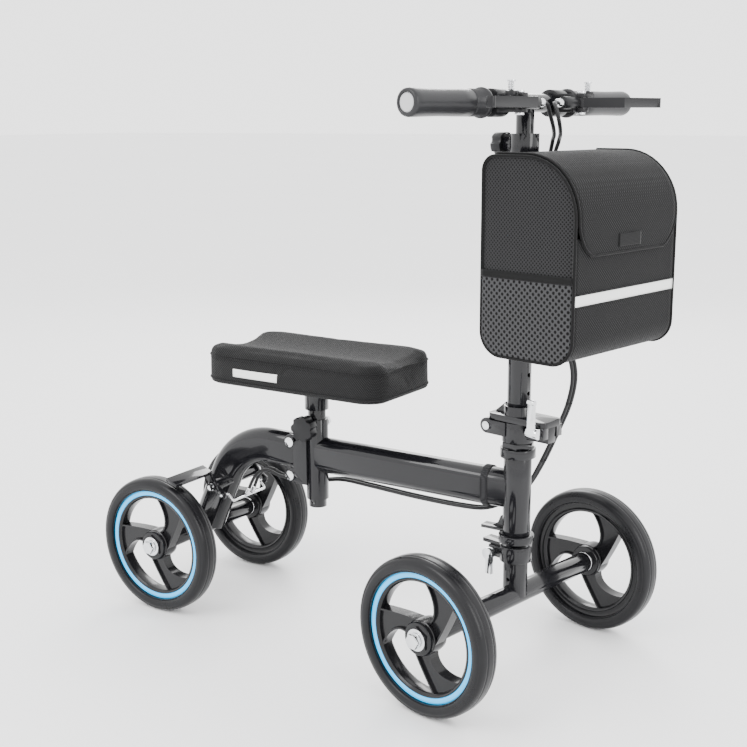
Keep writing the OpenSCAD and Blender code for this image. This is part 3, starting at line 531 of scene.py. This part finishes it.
class SCOOTER_OT_wheels(bpy.types.Operator):
    """Makes four wheels: swirl-spoked rims, tyres, hub caps and accent rings"""
    bl_idname = "scooter.wheels"
    bl_label = "Wheels"

    def tyre(self, name, place):
        half = [(84.0, 12.8), (84.6, 14.6), (86.2, 15.9), (88.6, 16.3), (92.0, 16.4),
                (94.6, 16.0), (95.4, 15.3), (96.0, 15.4), (97.4, 14.9), (99.2, 13.2),
                (100.5, 10.6), (101.1, 8.0), (101.3, 6.6), (101.0, 6.2), (101.4, 5.8),
                (101.5, 2.6)]
        profile = half + [(r, -y) for r, y in reversed(half)]
        bm = bmesh.new()
        revolve(bm, profile, steps=128)
        bmesh.ops.transform(bm, matrix=place, verts=bm.verts)
        tidy_normals(bm)
        return make_piece(name, bm)

    def rim(self, name, place):
        profile = [(83.9, 13.4), (82.9, 13.5), (82.6, 12.4), (82.4, 8.0), (81.6, 7.6),
                   (75.6, 7.6), (75.0, 8.0), (74.8, 10.2), (74.3, 10.6), (72.6, 10.4),
                   (71.6, 9.6), (71.2, 8.6), (70.6, 8.2), (RIM_INNER, 6.8), (69.8, 0.0)]
        profile = profile + [(r, -y) for r, y in reversed(profile[:-1])]
        bm = bmesh.new()
        revolve(bm, profile, steps=128)
        hub = [(11.2, 18.8), (13.4, 18.8), (13.9, 18.3), (14.6, 16.4), (20.4, 15.4),
               (21.4, 14.2), (21.6, 9.4), (22.6, 8.4), (22.8, 0)]
        hub = hub + [(r, -y) for r, y in reversed(hub[:-1])]
        revolve(bm, hub, steps=64)
        tidy_normals(bm)
        for turn in (0, 120, 240):
            piece = spoke(math.radians(turn))
            carrier = bpy.data.meshes.new("spoke")
            piece.to_mesh(carrier)
            piece.free()
            bm.from_mesh(carrier)
            bpy.data.meshes.remove(carrier)
        cap = bmesh.ops.create_circle(bm, cap_ends=True, segments=6, radius=17.4 * MM)["verts"]
        bmesh.ops.rotate(bm, verts=cap, cent=(0, 0, 0), matrix=Matrix.Rotation(
            math.radians(90), 3, "X"))
        bmesh.ops.translate(bm, verts=cap, vec=(0, 14.0 * MM, 0))
        raised = bmesh.ops.extrude_face_region(bm, geom=list({
            f for v in cap for f in v.link_faces}))["geom"]
        bmesh.ops.translate(bm, verts=[g for g in raised if isinstance(g, bmesh.types.BMVert)],
                            vec=(0, 4.6 * MM, 0))
        bmesh.ops.transform(bm, matrix=place, verts=bm.verts)
        bmesh.ops.recalc_face_normals(bm, faces=bm.faces)
        piece = make_piece(name, bm)
        soften(piece, 0.5, 2, 38)
        return piece

    def ring(self, name, place):
        points = []
        for i in range(20):
            a = 2 * math.pi * i / 20
            points.append((RING_RADIUS + 4.0 * math.cos(a), RING_FACE + 2.1 * math.sin(a)))
        bm = bmesh.new()
        revolve(bm, points, steps=144)
        bmesh.ops.transform(bm, matrix=place, verts=bm.verts)
        tidy_normals(bm)
        return make_piece(name, bm)

    def execute(self, context):
        for front in (True, False):
            for left in (True, False):
                wheel = ("front" if front else "rear") + ("_left" if left else "_right")
                body = wheel + "_wheel"
                place = wheel_place(front, left)
                tyre = dress(self.tyre(wheel + "_tread_tyre", place), body,
                             "tyre_black")
                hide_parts(wheel + "_tyre")
                rim = dress(self.rim(wheel + "_swirl_rim", place), body,
                            "wheel_plastic_black")
                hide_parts(wheel + "_rim")
                dress(self.ring(wheel + "_accent_ring", place), body,
                      "accent_ring")
        return {"FINISHED"}


# ---- Knee cushion ----

def follow_surface(tree, points, centre, lift=0.0):
    """The points moved out or in along the line from a centre onto a surface."""
    out = []
    for point in points:
        way = (point - centre).normalized()
        hit, normal, _, _ = tree.ray_cast(centre, way)
        if hit is None:
            raise RuntimeError("a seam point found no surface")
        out.append(hit + normal * lift)
    return out


def stitch_row(name, path, normal_of, length, thickness, every):
    """A row of short threads along a path."""
    bm = bmesh.new()
    travelled = 0.0
    due = every / 2
    for a, b in zip(path, path[1:]):
        step = (b - a).length
        while due <= travelled + step:
            spot = a.lerp(b, (due - travelled) / step)
            along = (b - a).normalized()
            out = normal_of(spot)
            side = out.cross(along).normalized()
            turn = Matrix((along, side, out)).transposed().to_4x4()
            bmesh.ops.create_cube(bm, size=1.0, matrix=Matrix.Translation(spot) @ turn
                                  @ Matrix.Diagonal((length, thickness, thickness, 1)))
            due += every
        travelled += step
    piece = make_piece(name, bm)
    soften(piece, thickness * 300, 1)
    return piece


class SCOOTER_OT_cushion(bpy.types.Operator):
    """Fills the knee cushion's cover and sews on its seams, stitches and label"""
    bl_idname = "scooter.cushion"
    bl_label = "Knee cushion"

    def filled(self, start):
        """The cover after a short cloth simulation with air pressure inside."""
        scene = bpy.context.scene
        rest = [v.co.copy() for v in start.data.vertices]
        low = min(p.z for p in rest)
        held = start.vertex_groups.new(name="held")
        held.add([i for i, p in enumerate(rest) if p.z < low + 0.004], 1.0, "ADD")
        cloth = start.modifiers.new("Fill", "CLOTH")
        cloth.settings.use_pressure = True
        cloth.settings.uniform_pressure_force = 4.0
        cloth.settings.effector_weights.gravity = 0.0
        cloth.settings.vertex_group_mass = "held"
        cloth.settings.quality = 4
        cloth.settings.tension_stiffness = 25.0
        cloth.settings.compression_stiffness = 25.0
        for step in range(1, 21):
            scene.frame_set(step)
        shape = start.evaluated_get(bpy.context.evaluated_depsgraph_get())
        limit = settings().swell
        for i, (point, old) in enumerate(zip(shape.data.vertices, rest)):
            move = point.co - old
            if move.length > limit:
                move = move * (limit / move.length)
            rest[i] = old + move
        start.modifiers.clear()
        for vert, place in zip(start.data.vertices, rest):
            vert.co = place
        scene.frame_set(1)
        start.vertex_groups.clear()

    def execute(self, context):
        low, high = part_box("knee_pad")
        middle = (low + high) / 2
        mesh = NODES["knee_pad"].data.copy()
        mesh.name = "knee_cushion"
        bm = bmesh.new()
        bm.from_mesh(mesh)
        tidy_normals(bm, 1e-5)
        bmesh.ops.translate(bm, verts=bm.verts, vec=-middle)
        bmesh.ops.scale(bm, verts=bm.verts, vec=(0.982, 0.97, 0.97))
        bmesh.ops.translate(bm, verts=bm.verts, vec=middle + Vector((0, 0, -0.0005)))
        bm.to_mesh(mesh)
        bm.free()
        cover = link("knee_cushion", mesh)
        remesh = cover.modifiers.new("Even", "REMESH")
        remesh.mode = "VOXEL"
        remesh.voxel_size = 0.004
        smooth = cover.modifiers.new("Ease", "SMOOTH")
        smooth.factor = 0.5
        smooth.iterations = 3
        context.view_layer.update()
        even = bpy.data.meshes.new_from_object(cover.evaluated_get(
            context.evaluated_depsgraph_get()))
        cover.modifiers.clear()
        cover.data = even
        bpy.data.meshes.remove(mesh)
        self.filled(cover)
        even.polygons.foreach_set("use_smooth", [True] * len(even.polygons))
        subdivide = cover.modifiers.new("Fine", "SUBSURF")
        subdivide.levels = subdivide.render_levels = 1
        dress(cover, "knee_rest", "cushion_mesh")
        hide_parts("knee_pad")
        bm = bmesh.new()
        bm.from_mesh(even)
        tree = BVHTree.FromBMesh(bm)
        bm.free()
        half_x, half_y, corner = (high.x - low.x) / 2, (high.y - low.y) / 2, 0.031
        for name, level, lift in (("upper", high.z - 0.013, 0.0004),
                                  ("lower", low.z + 0.008, 0.0003)):
            loop = []
            for sx, sy, begin in ((1, 1, 0), (-1, 1, 90), (-1, -1, 180), (1, -1, 270)):
                for k in range(9):
                    a = math.radians(begin + k * 90 / 8)
                    loop.append(Vector((middle.x + sx * (half_x - corner) + corner * math.cos(a),
                                        middle.y + sy * (half_y - corner)
                                        + corner * math.sin(a), level)))
            ring = []
            for a, b in zip(loop, loop[1:] + loop[:1]):
                parts = max(1, round((b - a).length / 0.008))
                ring += [a.lerp(b, k / parts) for k in range(parts)]
            path = []
            for point in ring:
                axis = Vector((max(-half_x + 0.06, min(half_x - 0.06, point.x - middle.x))
                               + middle.x, middle.y, level))
                path += follow_surface(tree, [point], axis, lift)
            seam = tube_mesh("cushion_seam_" + name, path, 0.0011, 8, closed=True)
            dress(seam, "knee_rest", "edge_binding")
            if name == "upper":
                row = []
                for point in ring:
                    axis = Vector((max(-half_x + 0.06, min(half_x - 0.06, point.x - middle.x))
                                   + middle.x, middle.y, level - 0.0042))
                    lowered = point - Vector((0, 0, 0.0042))
                    row += follow_surface(tree, [lowered], axis, 0.0002)
                threads = stitch_row("cushion_stitches", row + row[:1],
                                     lambda spot: (spot - middle).normalized(),
                                     0.0026, 0.0005, 0.0042)
                dress(threads, "knee_rest", "edge_binding")
        self.label(tree, low, high)
        return {"FINISHED"}

    def label(self, tree, low, high):
        """A plain woven tag, sewn to the right side."""
        bm = bmesh.new()
        bmesh.ops.create_grid(bm, x_segments=24, y_segments=6, size=0.5)
        for vert in bm.verts:
            x = -0.136 + vert.co.x * 0.078
            z = (low.z + high.z) / 2 - 0.006 + vert.co.y * 0.011
            hit, normal, _, _ = tree.ray_cast(Vector((x, low.y - 0.05, z)), Vector((0, 1, 0)))
            vert.co = hit + normal * 0.0002
        bmesh.ops.recalc_face_normals(bm, faces=bm.faces)
        if sum(face.normal.y for face in bm.faces) > 0:
            bmesh.ops.reverse_faces(bm, faces=bm.faces)
        tag = make_piece("cushion_tag", bm)
        thick = tag.modifiers.new("Thickness", "SOLIDIFY")
        thick.thickness = 0.0007
        thick.offset = 1.0
        dress(tag, "knee_rest", "reflective_strip")


# ---- Basket ----

BASKET_X0, BASKET_X1, BASKET_Z0, BASKET_Z1 = 17.5, 153.5, 441.0, 679.0
BASKET_HALF = 107.0
GUSSET_GAP = 0.8
LID_HALF = 101.4
LID_CORNER = 46.0
BAND_Z = 541.0
LID_END_Z = 561.0
TOP_BACK_R, TOP_FRONT_R, BOTTOM_R = 20.0, 72.0, 32.0


def basket_outline(inset, fine=5.0):
    """Side outline as (x, z) points: up the back, over the top, down the front, back below."""
    x0, x1 = BASKET_X0 + inset, BASKET_X1 - inset
    z0, z1 = BASKET_Z0 + inset, BASKET_Z1 - inset
    corners = ((x0, z1, TOP_BACK_R, 180), (x1, z1, TOP_FRONT_R, 90),
               (x1, z0, BOTTOM_R, 0), (x0, z0, BOTTOM_R, -90))
    line = []
    for x, z, radius, begin in corners:
        radius -= inset
        cx = x + radius * (1 if x == x0 else -1)
        cz = z + radius * (1 if z == z0 else -1)
        for k in range(13):
            a = math.radians(begin - 90 * k / 12)
            line.append(Vector((cx + radius * math.cos(a), cz + radius * math.sin(a))))
    out = []
    for a, b in zip(line, line[1:] + line[:1]):
        parts = max(1, round((b - a).length / fine))
        out += [a.lerp(b, k / parts) for k in range(parts)]
    return out


def wall_strip(name, line, half_of, bow, columns=24):
    """A strip of cloth along an (x, z) line, from side to side, bowed out at its middle."""
    bm = bmesh.new()
    edges = chain(bm, [Vector((p.x, 0, p.y)) for p in line])
    row = edges
    order = [vert for edge in edges for vert in edge.verts]
    first = list(dict.fromkeys(order))
    rows = [first]
    for _ in range(columns):
        made = bmesh.ops.extrude_edge_only(bm, edges=row)["geom"]
        fresh = [g for g in made if isinstance(g, bmesh.types.BMVert)]
        row = [g for g in made if isinstance(g, bmesh.types.BMEdge)
               and g.verts[0] in fresh and g.verts[1] in fresh]
        near = {}
        for vert in fresh:
            for edge in vert.link_edges:
                other = edge.other_vert(vert)
                if other in rows[-1]:
                    near[other] = vert
        rows.append([near[vert] for vert in rows[-1]])
    total = len(line) - 1
    for j, verts in enumerate(rows):
        v = 2 * j / columns - 1
        for i, vert in enumerate(verts):
            before, after = line[max(i - 1, 0)], line[min(i + 1, total)]
            along = (after - before).normalized()
            out = Vector((-along.y, along.x))
            rise = bow * (1 - v * v) * math.sin(math.pi * i / total) ** 0.5
            spot = line[i] + out * rise
            vert.co = Vector((spot.x, v * half_of(line[i]), spot.y)) * MM
    bmesh.ops.recalc_face_normals(bm, faces=bm.faces)
    middle = Vector((85.0, 0, 560.0)) * MM
    if sum((f.calc_center_median() - middle).dot(f.normal) * f.calc_area()
           for f in bm.faces) < 0:
        bmesh.ops.reverse_faces(bm, faces=bm.faces)
    return make_piece(name, bm, STEERED)


def thicken(piece, thickness):
    solid = piece.modifiers.new("Thickness", "SOLIDIFY")
    solid.thickness = thickness * MM
    solid.offset = -1.0
    return piece


class SCOOTER_OT_basket(bpy.types.Operator):
    """Sews the basket: gusset, mesh sides, pocket, bindings, lid flap and strips"""
    bl_idname = "scooter.basket"
    bl_label = "Basket"

    def panel(self, name, line, level, puff, side, cell=4.0):
        """A puffed panel inside an (x, z) outline, facing out at one side."""
        low = Vector((min(p.x for p in line), min(p.y for p in line))) - Vector((2, 2))
        high = Vector((max(p.x for p in line), max(p.y for p in line))) + Vector((2, 2))
        size = high - low
        bm = bmesh.new()
        bmesh.ops.create_grid(bm, x_segments=round(size.x / cell),
                              y_segments=round(size.y / cell), size=0.5)
        sides = list(zip(line, line[1:] + line[:1]))
        outside = []
        for vert in bm.verts:
            spot = low + Vector(((vert.co.x + 0.5) * size.x, (vert.co.y + 0.5) * size.y))
            nearest, away, inside = None, 1e9, False
            for p, q in sides:
                run = q - p
                t = max(0.0, min(1.0, (spot - p).dot(run) / run.length_squared))
                foot = p + run * t
                if (spot - foot).length < away:
                    nearest, away = foot, (spot - foot).length
                if (p.y > spot.y) != (q.y > spot.y) and spot.x < p.x + run.x * (
                        spot.y - p.y) / run.y:
                    inside = not inside
            if not inside:
                if away > 1.5 * cell:
                    outside.append(vert)
                spot, away = nearest, 0.0
            ease = min(1.0, away / 20.0)
            rise = puff * ease * (2 - ease)
            vert.co = Vector((spot.x, side * (level + rise), spot.y)) * MM
        bmesh.ops.delete(bm, geom=outside, context="VERTS")
        bmesh.ops.remove_doubles(bm, verts=bm.verts, dist=0.0004)
        bmesh.ops.dissolve_degenerate(bm, dist=2e-5, edges=bm.edges)
        bmesh.ops.recalc_face_normals(bm, faces=bm.faces)
        if sum(f.normal.y * f.calc_area() for f in bm.faces) * side < 0:
            bmesh.ops.reverse_faces(bm, faces=bm.faces)
        return thicken(make_piece(name, bm, STEERED), 1.2)

    def binding(self, name, points, closed=False, radius=1.9):
        return tube_mesh(name, [steered(*p) for p in points], radius * MM, 8, closed)

    def execute(self, context):
        outline = basket_outline(3.3)
        start = min(range(len(outline)), key=lambda i: (outline[i] - Vector((33, 675.7))).length)
        front = min(range(len(outline)), key=lambda i: (outline[i] - Vector((150.2, 586))).length)
        shell = outline[front:] + outline[:start + 1]
        gusset = wall_strip("basket_gusset", shell, lambda p: BASKET_HALF - GUSSET_GAP, 0.0)
        thicken(gusset, 2.6)
        dress(gusset, "column", "woven_basket")
        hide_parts("basket_shell")
        for side, hand in ((1, "left"), (-1, "right")):
            panel = self.panel("basket_mesh_" + hand, outline, 104.6, 2.2, side)
            dress(panel, "column", "fine_side_mesh")
            low = [p for p in basket_outline(5.2) if p.y < BAND_Z]
            low.sort(key=lambda p: math.atan2(p.y - 520, p.x - 85.5))
            turn = max(range(len(low)), key=lambda i: (
                (low[(i + 1) % len(low)] - low[i]).length))
            low = low[turn + 1:] + low[:turn + 1]
            rim_to = Vector((low[-1].x, BAND_Z)), Vector((low[0].x, BAND_Z))
            top = [rim_to[0].lerp(rim_to[1], k / 26) for k in range(27)]
            pocket = self.panel("basket_pocket_" + hand, low + top, 107.1, 1.6, side)
            dress(pocket, "column", "pocket_mesh")
            edge = [(p.x, side * 105.6, p.y) for p in outline]
            piping = self.binding("basket_piping_" + hand, edge, closed=True)
            dress(piping, "column", "edge_binding")
            bm = bmesh.new()
            bmesh.ops.create_grid(bm, x_segments=40, y_segments=4, size=0.5)
            for vert in bm.verts:
                u, v = vert.co.x * 2, vert.co.y * 2
                x = 85.5 + u * 63.5
                bulge = 108.3 + 0.3 * (1 - u ** 4) - 0.5 * v * v
                vert.co = Vector((x, side * bulge, BAND_Z + v * 4.4)) * MM
            bmesh.ops.recalc_face_normals(bm, faces=bm.faces)
            if sum(f.normal.y for f in bm.faces) * side < 0:
                bmesh.ops.reverse_faces(bm, faces=bm.faces)
            band = thicken(make_piece("basket_band_" + hand, bm, STEERED), 0.9)
            dress(band, "column", "edge_binding")
        self.lid()
        self.front_strip()
        return {"FINISHED"}

    def length(self, line):
        return sum((b - a).length for a, b in zip(line, line[1:])) * MM

    def lid(self):
        outline = basket_outline(0.6)
        begin = min(range(len(outline)), key=lambda i: (outline[i] - Vector((38, 678.4))).length)
        ends = [i for i, p in enumerate(outline) if p.x > 150 and p.y > LID_END_Z + 2.0]
        line = outline[begin:max(ends) + 1]

        def half_of(point):
            left = point.y - (LID_END_Z + 2.0)
            if point.x < 100 or left > LID_CORNER:
                return LID_HALF
            return LID_HALF - LID_CORNER + math.sqrt(
                max(0.0, LID_CORNER ** 2 - (LID_CORNER - left) ** 2))

        flap = wall_strip("basket_lid_flap", line, half_of, 0.0, columns=28)
        thicken(flap, 1.9)
        dress(flap, "basket_lid", "woven_basket")
        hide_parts("basket_lid")
        rail = [(p.x - 0.6, -half_of(p), p.y) for p in line]
        path = rail + [(line[-1].x - 0.6, -half_of(line[-1]) * (1 - 2 * k / 12), line[-1].y)
                       for k in range(1, 12)]
        path += [(x, -y, z) for x, y, z in reversed(rail)]
        trim = tube_mesh("basket_lid_binding", [steered(*p) for p in path], 1.7 * MM, 8)
        dress(trim, "basket_lid", "edge_binding")
        bm = bmesh.new()
        bmesh.ops.create_grid(bm, x_segments=20, y_segments=6, size=0.5)
        for vert in bm.verts:
            vert.co = Vector((153.1, vert.co.x * 46, 581 + vert.co.y * 15)) * MM
        bmesh.ops.recalc_face_normals(bm, faces=bm.faces)
        if sum(f.normal.x for f in bm.faces) < 0:
            bmesh.ops.reverse_faces(bm, faces=bm.faces)
        patch = make_piece("basket_lid_patch", bm, STEERED)
        solid = patch.modifiers.new("Thickness", "SOLIDIFY")
        solid.thickness = 0.0007
        solid.offset = 1.0
        dress(patch, "basket_lid", "edge_binding")

    def front_strip(self):
        bm = bmesh.new()
        bmesh.ops.create_grid(bm, x_segments=48, y_segments=3, size=0.5)
        for vert in bm.verts:
            vert.co = Vector((150.4, vert.co.x * 208, 518.5 + vert.co.y * 12)) * MM
        bmesh.ops.recalc_face_normals(bm, faces=bm.faces)
        if sum(f.normal.x for f in bm.faces) < 0:
            bmesh.ops.reverse_faces(bm, faces=bm.faces)
        strip = make_piece("basket_strip", bm, STEERED)
        solid = strip.modifiers.new("Thickness", "SOLIDIFY")
        solid.thickness = 0.0007
        solid.offset = 1.0
        dress(strip, "column", "reflective_strip")
        rows = []
        for z in (511.4, 525.6):
            seam = tube_mesh("basket_strip_seam_%d" % z, [steered(150.6, -104 + 8 * k, z)
                                                          for k in range(27)], 0.7 * MM, 6)
            rows.append(seam)
        for seam in rows:
            dress(seam, "column", "edge_binding")


# ---- Grips and lock springs ----

PIN_X, PIN_Y = 37, 77
SPRING_FOOT = 0.0136
SPRING_RADIUS, SPRING_WIRE, SPRING_HEIGHT, SPRING_TURNS = 0.0037, 0.0005, 0.0088, 5

class SCOOTER_OT_grips(bpy.types.Operator):
    """Moulds two hand grips with a collar, a ring and an end disc, and winds the lock springs"""
    bl_idname = "scooter.grips"
    bl_label = "Hand grips"

    def execute(self, context):
        for side, hand in ((1, "left"), (-1, "right")):
            place = STEERED @ Matrix.Translation((0, 0, BAR_Z)) @ Matrix.Scale(
                side, 4, (0, 1, 0))
            profile = [(11.3, 83), (16.6, 83), (17.7, 83.8), (18.0, 85.5), (17.9, 87.5),
                       (17.0, 88.8), (15.9, 89.4), (15.9, 108), (15.5, 108.6), (15.0, 109.2),
                       (15.0, 111.2), (15.5, 111.8), (15.9, 112.4), (15.7, 130), (15.4, 150),
                       (15.3, 168), (15.6, 188), (16.0, 204), (16.0, 210.5), (15.4, 213.2),
                       (13.9, 214.6), (11.3, 215), (11.3, 207)]
            bm = bmesh.new()
            revolve(bm, profile, steps=72)
            bmesh.ops.transform(bm, matrix=place, verts=bm.verts)
            tidy_normals(bm)
            grip = dress(make_piece("hand_grip_" + hand, bm), "stem",
                         "grip_black")
            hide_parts("grip_" + hand)
            bm = bmesh.new()
            revolve(bm, [(0, 214.2), (8.2, 214.2), (9.6, 214.0), (10.8, 213.4), (11.25, 212.5),
                         (11.25, 208), (0, 208)], steps=48)
            bmesh.ops.transform(bm, matrix=place, verts=bm.verts)
            tidy_normals(bm)
            dress(make_piece("grip_plug_" + hand, bm), "stem", "plug_grey")
            foot = Vector((PIN_X * MM, side * PIN_Y * MM, BAR_Z + SPRING_FOOT))
            angles = [2 * math.pi * k / 16 for k in range(16 * SPRING_TURNS + 1)]
            coil = [STEERED @ (foot + Vector((SPRING_RADIUS * math.cos(a),
                                              SPRING_RADIUS * math.sin(a),
                                              SPRING_HEIGHT * a / angles[-1])))
                    for a in angles]
            spring = tube_mesh("lock_spring_" + hand, coil, SPRING_WIRE, 6)
            dress(spring, "stem", "bright_chrome")
            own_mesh(spring)
        return {"FINISHED"}


# ---- Cables and brake wire ----

SLEEVE = 2.5
FERRULE_WALL = 0.8
WIRE_RADIUS = 2.0
WIRE_PLACE = (-0.228, 0, 0.171)
WIRE_TILT = 45


class SCOOTER_OT_cables(bpy.types.Operator):
    """Lays the two brake cables, from the levers to the rear brake"""
    bl_idname = "scooter.cables"
    bl_label = "Brake cables"

    def route(self, s):
        """Points of one whole cable in metres."""
        if s > 0:
            top = [(36, 14.6, 735), (37, 8, 734), (43, 3, 729), (46, 3, 720), (44, 10, 709),
                   (34, 26, 698), (22, 40, 689)]
        else:
            top = [(36, -14.6, 735), (36, -7, 734), (35, -1, 729), (33, 6, 720),
                   (30, 16, 708), (22, 30, 697), (14, 38, 688)]
        down = [(6, 48 + 4 * s, 660), (5, 56 + 4 * s, 600), (5, 64 + 4 * s, 530),
                (6, 74 + 4 * s, 470), (12, 88 + 4 * s, 425), (16, 98 + 4 * s, 385),
                (10, 97 + 4 * s, 345), (0, 84 + 4 * s, 305), (-8, 66 + 4 * s, 268)]
        low = [(-6, 44 + 4 * s, 238), (-22, 28 + 4 * s, 222), (-46, 10 + 4 * s, 211),
               (-80, 4 * s, 210), (-150, 4 * s, 210), (-230, 8 + 4 * s, 210),
               (-290, 24 + 4 * s, 205), (-330, 26 + 4 * s, 197), (-364, 16 + 4 * s, 195),
               (-388, 4 + 4 * s, 200), (-402, 5 * s, 206), (-412, 5 * s, 206.5),
               (-423, 5 * s, 202.5), (-432, 5.5 * s, 194), (-439, 6 * s, 183),
               (-444, 6.5 * s, 172), (-447.5, 7 * s, 164.5)]
        points = [steered(*p) for p in top + down]
        points += [Vector((STEER_X + x * MM, y * MM, z * MM)) for x, y, z in low]
        return points

    def execute(self, context):
        steps = 6
        for s, hand in ((1, "left"), (-1, "right")):
            path = smooth_path(self.route(s), steps)
            cuts = (0, 9 * steps, 13 * steps, 15 * steps, 26 * steps, len(path) - 1)
            names = ("bar", "column", "neck", "frame", "tail")
            joins = (("stem", "column"), ("column", "steering"),
                     ("steering", "head_bearings"), ("head_bearings", "frame"),
                     ("frame", "brake"))
            for k, (name, pair) in enumerate(zip(names, joins)):
                run = path[cuts[k]:cuts[k + 1] + 1]
                piece = tube_mesh("brake_cable_%s_%s" % (hand, name), run, SLEEVE * MM, 12)
                piece.data.materials.clear()
                piece.data.materials.append(bpy.data.materials["cable_sheath"])
                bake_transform(piece)
            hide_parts("brake_cable_" + hand)
            ferrule = tube_mesh("brake_cable_%s_ferrule" % hand, path[-steps - 2:],
                                (SLEEVE + FERRULE_WALL) * MM, 12)
            dress(ferrule, "brake", "bright_chrome")
        return {"FINISHED"}


class SCOOTER_OT_brake_wire(bpy.types.Operator):
    """Bends the steel wire that joins the two brake arms"""
    bl_idname = "scooter.brake_wire"
    bl_label = "Brake wire"

    def execute(self, context):
        place = Matrix.Translation(WIRE_PLACE) @ Matrix.Rotation(
            math.radians(WIRE_TILT), 4, "Y")
        half = [(0, 54), (0, 42.5), (0.7, 39.4), (2.6, 38.1), (5, 38), (9, 38), (11.4, 37.9),
                (13.3, 36.6), (14, 33.6), (14, 20)]
        path = [Vector((x, y, 0)) * MM for x, y in half]
        path += [Vector((p.x, -p.y, 0)) for p in reversed(path)]
        wire_piece = tube_mesh("brake_wire", [place @ p for p in smooth_path(path, 4)],
                               WIRE_RADIUS * MM, 12)
        dress(wire_piece, "brake", "bright_chrome")
        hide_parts("brake_bail")
        return {"FINISHED"}


# ---- Panel and registration ----

class ScooterSettings(bpy.types.PropertyGroup):
    paint_colour: bpy.props.FloatVectorProperty(
        name="Paint", description="Colour of the painted frame", subtype="COLOR", size=3,
        min=0.0, max=1.0, default=(0.004, 0.004, 0.005))
    # Colour of the rings, which also tints their painted glow.
    accent_colour: bpy.props.FloatVectorProperty(
        name="Accent", description="Colour of the glowing wheel rings", subtype="COLOR",
        size=3, min=0.0, max=1.0, default=(0.0, 0.42, 0.86))
    rib_pitch: bpy.props.FloatProperty(
        name="Rib pitch", description="Distance between the cushion's ribs",
        unit="LENGTH", min=0.001, max=0.01, default=0.0028)
    swell: bpy.props.FloatProperty(
        name="Swell", description="Furthest that the cushion's cover may move when filled",
        unit="LENGTH", min=0.0, max=0.01, default=0.0035)
    # Strength of the rings' painted glow; the rings are no lamps.
    ring_painted_glow: bpy.props.FloatProperty(
        name="Ring glow", description="Brightness of the wheel rings", min=0.0, max=20.0,
        default=1.4)


STEPS = ("finishes", "stage", "wheels", "cushion", "basket", "grips", "cables", "brake_wire")


class SCOOTER_PT_panel(bpy.types.Panel):
    bl_idname = "SCOOTER_PT_panel"
    bl_label = "Knee scooter"
    bl_space_type = "VIEW_3D"
    bl_region_type = "UI"
    bl_category = "Scooter"

    def draw(self, context):
        column = self.layout.column()
        for name in ScooterSettings.__annotations__:
            column.prop(context.scene.scooter, name)
        for step in STEPS:
            column.operator("scooter." + step)


CLASSES = (ScooterSettings, SCOOTER_OT_finishes, SCOOTER_OT_stage, SCOOTER_OT_wheels,
           SCOOTER_OT_cushion, SCOOTER_OT_basket, SCOOTER_OT_grips, SCOOTER_OT_cables,
           SCOOTER_OT_brake_wire, SCOOTER_PT_panel)


def register():
    for item in CLASSES:
        bpy.utils.register_class(item)
    bpy.types.Scene.scooter = bpy.props.PointerProperty(type=ScooterSettings)


def unregister():
    del bpy.types.Scene.scooter
    for item in reversed(CLASSES):
        bpy.utils.unregister_class(item)


def main():
    register()
    for step in STEPS:
        getattr(bpy.ops.scooter, step)()


if __name__ == "__main__":
    main()
